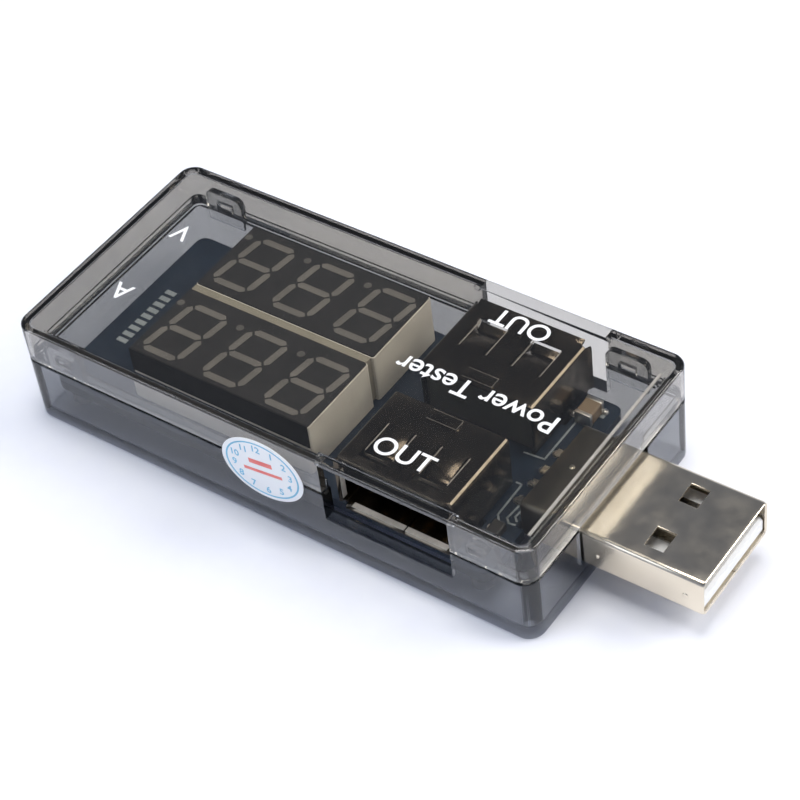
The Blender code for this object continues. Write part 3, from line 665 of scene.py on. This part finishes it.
def make_text(name, words, centre, height, turn, level, paint, slot, depth=PRINT, weight=0.0, stand=False):
    """Flat letters lying on a level, or standing on the near wall, about a centre."""
    curve = bpy.data.curves.new(name, "FONT")
    curve.body = words
    curve.size = height * MM / CAPITAL_SHARE
    curve.align_x = "CENTER"
    curve.align_y = "CENTER"
    curve.extrude = depth * MM / 2
    curve.offset = weight * MM
    holder = bpy.data.objects.new(name, curve)
    bpy.context.scene.collection.objects.link(holder)
    bpy.context.view_layer.update()
    shape = holder.evaluated_get(bpy.context.evaluated_depsgraph_get())
    mesh = bpy.data.meshes.new_from_object(shape)
    bpy.data.objects.remove(holder, do_unlink=True)
    corners = [v.co.copy() for v in mesh.vertices]
    middle_x = (min(c.x for c in corners) + max(c.x for c in corners)) / 2
    middle_y = (min(c.y for c in corners) + max(c.y for c in corners)) / 2
    mesh.transform(Matrix.Translation((-middle_x, -middle_y, 0.0)))
    mesh.transform(Matrix.Rotation(turn, 4, "Z"))
    if stand:
        mesh.transform(Matrix.Rotation(pi / 2, 4, "X"))
        mesh.transform(Matrix.Translation((centre[0] * MM, level * MM, centre[1] * MM)))
    else:
        mesh.transform(Matrix.Translation((centre[0] * MM, centre[1] * MM, (level + depth / 2) * MM)))
    made = bpy.data.objects.new(name, mesh)
    bpy.context.scene.collection.objects.link(made)
    show(made, slot, paint)


def make_printing():
    """The white words on the cover: most are printed to be read from the far side."""
    for name, words, centre, height, turn, weight in PRINTED_WORDS:
        make_text(name, words, centre, height, turn, TOP, INK_WHITE, "white_plastic", weight=weight)


# ---------------------------------------------------------------- folded metal shells

SHEET = 0.3
# the two latch holes in the plug's top
LATCH_OFFSET = 3.1
LATCH_HALF_WIDTH = 1.25
LATCH_FROM_TIP = 5.16
LATCH_LENGTH = 2.0
PLUG_CORNER = 0.55
TIP_LENGTH = 0.35
TIP_INSET = 0.10
# radius and height of the dimples
SIDE_DIMPLE = (0.34, 0.11)
TOP_DIMPLE = (0.32, 0.1)
SIDE_DIMPLES_FROM_TIP = (11.4, 1.9)


def shell_section(width, bottom, top, radius, stops, seam, gap=0.08, steps=6):
    """Points round a folded sheet, from one side of the seam under it to the other."""
    half = width / 2
    middle = (bottom + top) / 2
    arcs = []
    for x, z, start in (
        (half - radius, bottom + radius, 1.5 * pi),
        (half - radius, top - radius, 0.0),
        (radius - half, top - radius, 0.5 * pi),
        (radius - half, bottom + radius, pi),
    ):
        angles = [start + pi / 2 * step / steps for step in range(steps + 1)]
        arcs.append([(x + radius * cos(a), z + radius * sin(a)) for a in angles])
    points = [(seam + gap / 2, bottom)] + [(stop, bottom) for stop in stops if stop > seam + gap]
    points += arcs[0] + [(half, middle)] + arcs[1] + [(stop, top) for stop in reversed(stops)]
    points += arcs[2] + [(-half, middle)] + arcs[3]
    return points + [(stop, bottom) for stop in stops if stop < seam - gap] + [(seam - gap / 2, bottom)]


def add_sheet(bm, section, stations, place, missing):
    """A skin along the stations, without the faces that are said to be missing."""
    grid = [[bm.verts.new(place(point, station)) for station in stations] for point in section]
    for index in range(len(section) - 1):
        for step in range(len(stations) - 1):
            if missing((section[index], section[index + 1]), (stations[step], stations[step + 1])):
                continue
            near, far = grid[index], grid[index + 1]
            bm.faces.new((near[step], near[step + 1], far[step + 1], far[step]))
    bmesh.ops.delete(bm, geom=[v for v in bm.verts if not v.link_faces], context="VERTS")


def thicken(piece):
    """Gives a skin the thickness of the sheet, inwards."""
    skin = piece.modifiers.new("sheet", "SOLIDIFY")
    skin.thickness = SHEET * MM
    skin.offset = -1.0
    skin.use_even_offset = True
    settle(piece)


def between(value, low, high):
    """Whether a value lies in a range, its ends included."""
    return low - 1e-6 <= value <= high + 1e-6


def add_dimple(bm, centre, axis, radius, height):
    """A shallow dome standing on a flat face that looks along -Y, +Y or +Z."""
    rings = []
    for step in range(5):
        angle = pi / 2 * step / 5
        across = radius * cos(angle)
        up = height * sin(angle)
        ring = []
        for spoke in range(16):
            a = across * cos(pi * spoke / 8)
            b = across * sin(pi * spoke / 8)
            offset = {"-Y": (a, -up, b), "+Y": (a, up, b), "+Z": (a, b, up)}[axis]
            ring.append(tuple(c + o for c, o in zip(centre, offset)))
        rings.append(ring)
    add_loft(bm, rings)


def make_plug_shell():
    """The plug's folded shell with its dimples: nickel outside the case, and painted shade, a much darker
    nickel, inside it.
    """
    low, high = box("plug_shell")
    width = high[1] - low[1]
    middle_z = (low[2] + high[2]) / 2
    latch = (LATCH_OFFSET - LATCH_HALF_WIDTH, LATCH_OFFSET + LATCH_HALF_WIDTH)
    stops = sorted(way * edge for way in (-1, 1) for edge in latch)
    section = shell_section(width, low[2], high[2], PLUG_CORNER, stops, 0.0)
    hole_front = high[0] - LATCH_FROM_TIP
    hole_back = hole_front - LATCH_LENGTH
    tip_start = high[0] - TIP_LENGTH
    wall_x = CASE_X[1] - 0.5
    hidden = [low[0], low[0] + 2.0, wall_x]
    open_part = [wall_x, (wall_x + hole_back) / 2, hole_back, hole_front,
                 tip_start, high[0] - 0.12, high[0]]

    def place(point, station):
        inset = TIP_INSET * max(0.0, (station - tip_start) / (high[0] - tip_start)) ** 2
        y = point[0] * (1 - 2 * inset / width)
        z = point[1] + (inset if point[1] < middle_z else -inset)
        return (station, y, z)

    def missing(across, along):
        if across[0][1] != across[1][1] or across[0][0] * across[1][0] <= 0:
            return False
        over = all(between(abs(point[0]), *latch) for point in across)
        return over and between(along[0], hole_back, hole_front - 0.01)

    # the part inside the case gets painted shade, a darker nickel
    parts = (
        ("plug_folded_shell", open_part, NICKEL, ("plug_shell",)),
        ("plug_shell_rear", hidden, NICKEL_IN_SHADE, ()),
    )
    for name, stations, paint, nodes in parts:
        bm = bmesh.new()
        add_sheet(bm, section, stations, place, missing)
        bmesh.ops.reverse_faces(bm, faces=bm.faces)
        shell = to_object(bm, name, closed=False)
        thicken(shell)
        bevel(shell, 0.06)
        show(shell, "nickel_sheet", paint, *nodes)

    bm = bmesh.new()
    for from_tip in SIDE_DIMPLES_FROM_TIP:
        for way, axis in ((-1, "-Y"), (1, "+Y")):
            centre = (high[0] - from_tip, way * (width / 2 - 0.01), middle_z - 0.25)
            add_dimple(bm, centre, axis, *SIDE_DIMPLE)
    add_dimple(bm, (low[0] + 1.8, 0.4, high[2] - 0.01), "+Z", *TOP_DIMPLE)
    show(to_object(bm, "plug_dimples"), "nickel_sheet", NICKEL)


FINGER_OFFSET = 3.1
FINGER_WIDTH = 2.9
FINGER_SLIT = 0.26
FINGER_ROOT = 6.05
FINGER_TIP = 10.2
FINGER_BENDS = {8.5: 0.25, 9.0: 0.6, 9.4: 0.75, 9.8: 0.6, FINGER_TIP: 0.3}
SHELL_BOTTOM = 4.9
SHELL_CORNER = 0.5
SHELL_SEAM = 0.8
SHELL_FRONT = 11.9
OPEN_BELOW = 6.6
FLARE = 0.28
# the near (-1) and far (1) sockets' mouths differ a little
FLARE_REACH = {-1: 0.34, 1: 0.6}
BEHIND_MOUTH = {-1: 11.0, 1: 10.5}
HAIR = 1e-3
LEG_REACH = (7.4, 9.0)
LEG_HALF_THICKNESS = 0.12
# the raised pad on the shell's top: its reach from the back, and half its width
PAD_REACH = (0.25, 1.75)
PAD_HALF_WIDTH = 2.0
PAD_EDGE = 0.1


def finger_stops():
    """Where the slits on both sides of the two spring fingers start and end."""
    stops = []
    for way in (-1, 1):
        for edge in (-1, 1):
            middle = way * FINGER_OFFSET + edge * (FINGER_WIDTH + FINGER_SLIT) / 2
            stops += [middle - FINGER_SLIT / 2, middle + FINGER_SLIT / 2]
    return sorted(stops)


def make_socket_shell(side_name, side):
    """A socket's folded shell: spring fingers in its top, a seam under it, and a flared mouth."""
    low, high = box(f"{side_name}_socket_shell")
    centre = (low[0] + high[0]) / 2
    width = high[0] - low[0] - 2 * FLARE
    back = min(abs(low[1]), abs(high[1]))
    bottom = SHELL_BOTTOM
    top = high[2] - FLARE
    section = shell_section(width, bottom, top, SHELL_CORNER, finger_stops(), SHELL_SEAM)
    stations = [back, FINGER_ROOT, OPEN_BELOW] + sorted(FINGER_BENDS) + [BEHIND_MOUTH[side], SHELL_FRONT]
    stations += [SHELL_FRONT + FLARE_REACH[side] * share for share in (0.35, 0.7, 1.0)]
    inner = FINGER_WIDTH / 2 + HAIR
    outer = FINGER_WIDTH / 2 + FINGER_SLIT + HAIR

    def place(point, station):
        x, z = point
        if z == top and abs(abs(x) - FINGER_OFFSET) < inner:
            z -= FINGER_BENDS.get(station, 0.0)
        if station > SHELL_FRONT:
            rise = FLARE * ((station - SHELL_FRONT) / FLARE_REACH[side]) ** 1.5
            x += rise * (x > width / 2 - HAIR) - rise * (x < HAIR - width / 2)
            z += rise * (point[1] == top) - rise * (point[1] == bottom)
        return (centre + x, side * station, z)

    def missing(across, along):
        on_top = all(point[1] == top for point in across)
        on_bottom = all(point[1] == bottom for point in across)
        on_side = across[0][0] == across[1][0]
        middle = abs(abs(across[0][0] + across[1][0]) / 2 - FINGER_OFFSET)
        if on_top and between(along[0], FINGER_ROOT, FINGER_TIP - 0.01):
            return inner < middle < outer
        if on_top and along[0] == FINGER_TIP:
            return middle < outer
        if on_bottom and along[1] <= OPEN_BELOW:
            return True
        return along[0] >= SHELL_FRONT and not (on_top or on_bottom or on_side)

    bm = bmesh.new()
    add_sheet(bm, section, stations, place, missing)
    if side < 0:
        bmesh.ops.reverse_faces(bm, faces=bm.faces)
    shell = to_object(bm, f"{side_name}_folded_shell", closed=False)
    thicken(shell)
    bevel(shell, 0.05)
    show(shell, "nickel_sheet", SOCKET_TIN, f"{side_name}_socket_shell")

    bm = bmesh.new()
    for way in (-1, 1):
        x = centre + way * (width / 2 - SHEET / 2)
        x_range = (x - LEG_HALF_THICKNESS, x + LEG_HALF_THICKNESS)
        add_box(bm, x_range, side_range(side, *LEG_REACH), (low[2], bottom + 1.0))
    pad_y = side_range(side, back + PAD_REACH[0], back + PAD_REACH[1])
    rings = []
    for inset, z in ((0.0, top - 0.02), (0.05, top + 0.1), (0.15, top + 0.16)):
        x_range = (centre - PAD_HALF_WIDTH + inset, centre + PAD_HALF_WIDTH - inset)
        outline = rounded_outline(x_range, (pad_y[0] + inset, pad_y[1] - inset), 0.25, 4)
        rings.append([(x, y, z) for x, y in outline])
    add_loft(bm, rings)
    show(to_object(bm, f"{side_name}_shell_legs_and_pad"), "nickel_sheet", SOCKET_TIN)
    make_socket_highlights(side_name, side, (centre, width), (bottom, top), back)


def make_socket_highlights(side_name, side, across, levels, back):
    """Painted highlights: bright strips on the long bend, the cut edges of the slits and pad, and the
    rolled mouth.
    """
    centre, width = across
    bottom, top = levels
    bend_x = centre + width / 2 - SHELL_CORNER
    bend_z = top - SHELL_CORNER
    arc = [radians(36.0 + 30.0 * step / 5) for step in range(6)]
    section = []
    for radius, angles in ((SHELL_CORNER + 0.015, arc), (SHELL_CORNER - 0.05, reversed(arc))):
        section += [(bend_x + radius * cos(a), bend_z + radius * sin(a)) for a in angles]
    # painted highlight along the long bend on the +X side, where the key lamp catches it
    bm = bmesh.new()
    add_side_prism(bm, section, side_range(side, back + 0.1, SHELL_FRONT - 0.1))
    show(to_object(bm, f"{side_name}_shell_bright_bend"), "nickel_sheet", BEND_HIGHLIGHT)

    # painted highlights on the +X edge of each slit
    bm = bmesh.new()
    y_range = side_range(side, FINGER_ROOT + 0.1, FINGER_TIP - 0.1)
    for way in (-1, 1):
        for edge in (-1, 1):
            x = centre + way * FINGER_OFFSET + edge * FINGER_WIDTH / 2
            x += 0.02 + FINGER_SLIT * (edge > 0)
            add_box(bm, (x, x + 0.1), y_range, (top - 0.06, top + 0.012))
    show(to_object(bm, f"{side_name}_slit_edges", smooth=False), "nickel_sheet", SLIT_HIGHLIGHT)

    # painted highlights along the pad's two ends and its +X edge
    bm = bmesh.new()
    level = (top + 0.15, top + 0.175)
    pad_y = side_range(side, back + PAD_REACH[0] + PAD_EDGE, back + PAD_REACH[1] - PAD_EDGE)
    half = PAD_HALF_WIDTH - 0.25
    for y in pad_y:
        add_box(bm, (centre - half, centre + half), (y - PAD_EDGE / 2, y + PAD_EDGE / 2), level)
    add_box(bm, (centre + half - PAD_EDGE, centre + half), pad_y, level)
    show(to_object(bm, f"{side_name}_pad_edges", smooth=False), "nickel_sheet", PAD_HIGHLIGHT)

    # painted highlights: lit strips at the front of the mouth's bottom and on its left flare
    bm = bmesh.new()
    y_range = side_range(side, SHELL_FRONT - 0.2, SHELL_FRONT + 0.42)
    for x_range in ((2.4, 8.52), (8.68, 13.5)):
        add_box(bm, x_range, y_range, (bottom + 0.31, bottom + 0.36))
    left = centre - width / 2
    add_box(bm, (left + 0.31, left + 0.36), y_range, (6.0, 9.4))
    show(to_object(bm, f"{side_name}_mouth_painted_highlights"), "nickel_sheet", LIP)


# ---------------------------------------------------------------- oval label

LABEL_TILT = radians(8.0)
LABEL_HALF = (5.0, 3.9)
# front and back of the ink, behind the label's foremost plane
LABEL_INK = (0.002, 0.016)
RING_SHARES = (0.90, 0.86)
NUMBER_SHARES = (0.70, 0.68)
NUMBER_HEIGHT = 0.8
# height over the label's middle, half length and half height
LABEL_BARS = ((0.85, 1.45, 0.3), (-0.35, 2.4, 0.2))


def make_label():
    """The oval paper label: a blue ring, the numbers of a clock, and two plain red bars."""
    low, high = box("oval_label")
    centre = ((low[0] + high[0]) / 2, (low[2] + high[2]) / 2)
    front = low[1]
    ink = [front + depth for depth in LABEL_INK]

    def on_label(x, z):
        turned_x = x * cos(LABEL_TILT) - z * sin(LABEL_TILT)
        turned_z = x * sin(LABEL_TILT) + z * cos(LABEL_TILT)
        return (centre[0] + turned_x, centre[1] + turned_z)

    def ellipse(share, y, steps=72):
        angles = [2 * pi * step / steps for step in range(steps)]
        ring = [on_label(LABEL_HALF[0] * share * cos(a), LABEL_HALF[1] * share * sin(a)) for a in angles]
        return [(x, y, z) for x, z in ring]

    bm = bmesh.new()
    add_loft(bm, [ellipse(1.0, high[1]), ellipse(1.0, front + 0.035), ellipse(0.99, front + 0.015)])
    show(to_object(bm, "label_paper_oval"), "paper_label", PAPER, "oval_label")

    bm = bmesh.new()
    outer, inner = RING_SHARES
    corners = ((outer, ink[1]), (outer, ink[0]), (inner, ink[0]), (inner, ink[1]))
    add_band(bm, [ellipse(share, y) for share, y in corners])
    show(to_object(bm, "label_ring", smooth=False), "paper_label", INK_BLUE)

    for number in range(1, 13):
        angle = pi / 2 - number * pi / 6
        across, up = (half * share for half, share in zip(LABEL_HALF, NUMBER_SHARES))
        place = on_label(across * cos(angle), up * sin(angle))
        make_text(f"label_number_{number}", str(number), place, NUMBER_HEIGHT, 0.0, front + 0.009,
                  INK_BLUE, "paper_label", depth=0.012, weight=0.02, stand=True)

    bm = bmesh.new()
    for z, half_length, half_height in LABEL_BARS:
        bottom, top = z - half_height, z + half_height
        shape = [(-half_length, bottom), (half_length, bottom), (half_length, top), (-half_length, top)]
        add_side_prism(bm, [on_label(x, height) for x, height in shape], ink)
    show(to_object(bm, "label_bars", smooth=False), "paper_label", INK_RED)


# ---------------------------------------------------------------- board details

SILK_RISE = 0.02
SILK_WIDTH = 0.2
SILK_LINES = (
    ((12.9, 2.1), (15.1, 2.3), (15.1, 7.9)),
    ((14.4, -1.6), (15.0, -1.6), (15.1, -6.0), (15.7, -6.7), (16.5, -7.0)),
    ((16.3, -3.6), (16.1, -5.9), (16.6, -6.4), (17.2, -6.3)),
    ((16.9, -3.4), (16.7, -5.4), (17.1, -5.8)),
)
SILK_PATCH = ((16.3, 17.2), (9.75, 10.4))
TYPE_BARS_X = (-33.2, -31.9)
TYPE_BARS_START = 3.0
TYPE_BARS_PITCH = 1.02
TYPE_BARS_HALF_WIDTH = 0.3
# x, y and radius
SOLDER_SPOTS = (
    (16.9, 10.6, 0.42), (14.3, 8.9, 0.36), (16.6, -3.4, 0.4), (16.6, 4.1, 0.4), (14.9, -9.6, 0.4),
)
PLUG_LEG_X = 15.9
PLUG_LEG_Y = (-3.5, -1.0, 1.0, 3.5)


def add_line(bm, points, width, z_range):
    """A printed line: a thin bar along each stretch."""
    for start, end in zip(points, points[1:]):
        way = Vector((end[0] - start[0], end[1] - start[1], 0.0)).normalized()
        side = Vector((-way.y, way.x, 0.0)) * width / 2
        first = Vector((*start, 0.0)) - way * width / 2
        last = Vector((*end, 0.0)) + way * width / 2
        outline = [first - side, last - side, last + side, first + side]
        add_prism(bm, [(p.x, p.y) for p in outline], z_range)


def add_blob(bm, x, y, radius, height, squash=1.0):
    """A solder joint: a low rounded heap on the board."""
    rings = []
    for share, rise in ((1.0, 0.0), (0.93, 0.3), (0.75, 0.62), (0.5, 0.86), (0.2, 0.98)):
        z = BOARD_FACE + height * rise
        angles = [pi * spoke / 8 for spoke in range(16)]
        across = radius * share
        rings.append([(x + across * cos(a), y + across * squash * sin(a), z) for a in angles])
    add_loft(bm, rings)


def make_silk():
    """White print on the board: lines round the parts, a patch, and bars for the type number."""
    bm = bmesh.new()
    level = (BOARD_FACE, BOARD_FACE + SILK_RISE)
    for points in SILK_LINES:
        add_line(bm, points, SILK_WIDTH, level)
    for index in range(9):
        y = TYPE_BARS_START - index * TYPE_BARS_PITCH
        add_box(bm, TYPE_BARS_X, (y - TYPE_BARS_HALF_WIDTH, y + TYPE_BARS_HALF_WIDTH), level)
    add_box(bm, *SILK_PATCH, level)
    show(to_object(bm, "board_silk", smooth=False), "white_plastic", SILK)


def make_solder():
    """Joints round the small parts, and a row of them at the plug's legs."""
    bm = bmesh.new()
    for x, y, radius in SOLDER_SPOTS:
        add_blob(bm, x, y, radius, height=0.35)
    for y in PLUG_LEG_Y:
        add_blob(bm, PLUG_LEG_X, y, radius=0.62, height=0.28, squash=0.8)
    show(to_object(bm, "board_solder"), "nickel_sheet", TIN)


def make_capacitor_ends():
    """The tinned ends of the tan capacitor, a hair larger than its body."""
    low, high = box("tan_capacitor")
    x_range = (low[0] - 0.02, high[0] + 0.02)
    bm = bmesh.new()
    for y_range in ((low[1] - 0.02, low[1] + 0.45), (high[1] - 0.45, high[1] + 0.02)):
        add_box(bm, x_range, y_range, (low[2], high[2] + 0.02))
    ends = to_object(bm, "capacitor_ends")
    bevel(ends, 0.06)
    show(ends, "nickel_sheet", TIN)


def make_transistor_legs():
    """Two legs on one side of the transistor and one on the other."""
    low, high = box("status_transistor")
    middle_y = (low[1] + high[1]) / 2
    bm = bmesh.new()
    for way, edge, places in ((-1, low[0], (-0.9, 0.9)), (1, high[0], (0.0,))):
        x_range = sorted((edge - way * 0.1, edge + way * 0.55))
        for offset in places:
            y = middle_y + offset
            add_box(bm, x_range, (y - 0.2, y + 0.2), (BOARD_FACE + 0.02, BOARD_FACE + 0.22))
    legs = to_object(bm, "transistor_legs")
    bevel(legs, 0.04)
    show(legs, "nickel_sheet", TIN)


END_LINE_FAR = (22.68, 11.6)
END_LINE_NEAR = (22.83, -12.0)
END_LINE_WIDTH = 0.3


def make_end_line():
    """Painted highlight: a pale strip along the inner corner where the cover's plate meets the plug-end
    wall.
    """
    bm = bmesh.new()
    level = (TOP - COVER_PLATE - 0.16, TOP - COVER_PLATE - 0.01)
    (far_x, far_y), (near_x, near_y) = END_LINE_FAR, END_LINE_NEAR
    outline = [
        (far_x + END_LINE_WIDTH, far_y), (far_x, far_y),
        (near_x, near_y), (near_x + END_LINE_WIDTH, near_y),
    ]
    add_prism(bm, outline, level)
    show(to_object(bm, "plug_end_painted_highlight", smooth=False), "white_plastic", END_HIGHLIGHT)


# ---------------------------------------------------------------- remaining CAD nodes

def paint_small_nodes():
    paint_node("circuit_board", BOARD)
    paint_node("plug_insulator", WHITE)
    for side in ("near", "far"):
        paint_node(f"{side}_socket_insulator", TONGUE)
    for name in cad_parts:
        if "_contact_" in name:
            paint_node(name, BLADE if name.startswith("plug") else GOLD)
        elif "resistor" in name or name in ("controller_chip", "voltage_regulator", "status_transistor"):
            paint_node(name, BLACK)
        elif "capacitor" in name:
            paint_node(name, TAN)


# ---------------------------------------------------------------- camera, floor and lights

CAMERA_AIM = (-1.039, 0.757, 6.0)
CAMERA_DISTANCE = 234.2
CAMERA_AZIMUTH = radians(40.609)
CAMERA_ELEVATION = radians(45.079)
CAMERA_ROLL = radians(-7.977)
CAMERA_LENS = 105.74
CAMERA_SHIFT = (0.0012, 0.0048)
FLOOR_REACH = 1500.0
SKY = (0.68, 0.77, 1.0)
# the room's light falls off between these heights of the direction seen
SKY_HEIGHTS = (0.3, 0.6)
SKY_STRENGTHS = (0.5, 0.17)
# name, place, size, power and colour
LAMPS = (
    ("key_softbox", (0.42, 0.30, 0.42), (0.35, 0.35), 3.1, (1.0, 0.98, 0.94)),
    ("top_softbox", (0.02, 0.0, 0.75), (0.35, 0.35), 3.2, (1.0, 0.985, 0.96)),
    ("fill_softbox", (-0.35, -0.42, 0.40), (0.4, 0.4), 1.2, (0.78, 0.87, 1.0)),
    ("back_card", (-0.62, 0.72, 0.24), (1.5, 0.5), 1.0, (0.94, 0.97, 1.0)),
)


def make_camera():
    """Looks at the aim from an azimuth and elevation, rolled a little about its own axis."""
    data = bpy.data.cameras.new("camera")
    data.lens = CAMERA_LENS
    data.sensor_width = 36.0
    data.clip_start = 0.01
    data.clip_end = 10.0
    data.shift_x, data.shift_y = CAMERA_SHIFT
    camera = bpy.data.objects.new("camera", data)
    bpy.context.scene.collection.objects.link(camera)
    turn = Matrix.Rotation(CAMERA_AZIMUTH, 4, "Z")
    turn = turn @ Matrix.Rotation(pi / 2 - CAMERA_ELEVATION, 4, "X")
    turn = turn @ Matrix.Rotation(CAMERA_ROLL, 4, "Z")
    aim = Matrix.Translation(Vector(CAMERA_AIM) * MM)
    camera.matrix_world = aim @ turn @ Matrix.Translation((0.0, 0.0, CAMERA_DISTANCE * MM))
    bpy.context.scene.camera = camera


def make_floor():
    bm = bmesh.new()
    bmesh.ops.create_grid(bm, x_segments=1, y_segments=1, size=FLOOR_REACH)
    floor = to_object(bm, "floor", smooth=False, closed=False)
    paint = moulded("floor_paint", (0.885, 0.90, 0.975), (0.90, 0.915, 0.975), (0.6, 0.7),
                    grain=400.0, depth=0.01)
    floor.data.materials.append(paint)


def make_lamp(name, place, size, power, colour):
    """A rectangular lamp that points at the origin; place and size are in metres."""
    data = bpy.data.lights.new(name, "AREA")
    data.shape = "RECTANGLE"
    data.size, data.size_y = size
    data.energy = power
    data.color = colour
    lamp = bpy.data.objects.new(name, data)
    lamp.location = place
    lamp.rotation_euler = (-Vector(place)).to_track_quat("-Z", "Y").to_euler()
    bpy.context.scene.collection.objects.link(lamp)


def make_world():
    """A pale blue room: lighter round the sides than overhead."""
    world = bpy.data.worlds.new("studio")
    world.use_nodes = True
    tree = world.node_tree
    background = tree.nodes["Background"]
    background.inputs["Color"].default_value = (*SKY, 1.0)
    coords = tree.nodes.new("ShaderNodeTexCoord")
    parts = tree.nodes.new("ShaderNodeSeparateXYZ")
    height = tree.nodes.new("ShaderNodeMapRange")
    for end, place, strength in zip(("Min", "Max"), SKY_HEIGHTS, SKY_STRENGTHS):
        height.inputs[f"From {end}"].default_value = place
        height.inputs[f"To {end}"].default_value = strength
    tree.links.new(coords.outputs["Generated"], parts.inputs["Vector"])
    tree.links.new(parts.outputs["Z"], height.inputs["Value"])
    tree.links.new(height.outputs["Result"], background.inputs["Strength"])
    bpy.context.scene.world = world


make_cover()
make_case()
make_displays()
make_end_line()
make_printing()
make_plug_shell()
for side_name, side in (("near", -1), ("far", 1)):
    make_socket_shell(side_name, side)
make_label()
make_silk()
make_solder()
make_capacitor_ends()
make_transistor_legs()
paint_small_nodes()
make_camera()
make_floor()
make_world()
for lamp in LAMPS:
    make_lamp(*lamp)
bpy.context.scene.view_settings.view_transform = "Standard"
bpy.context.scene.view_settings.look = "None"
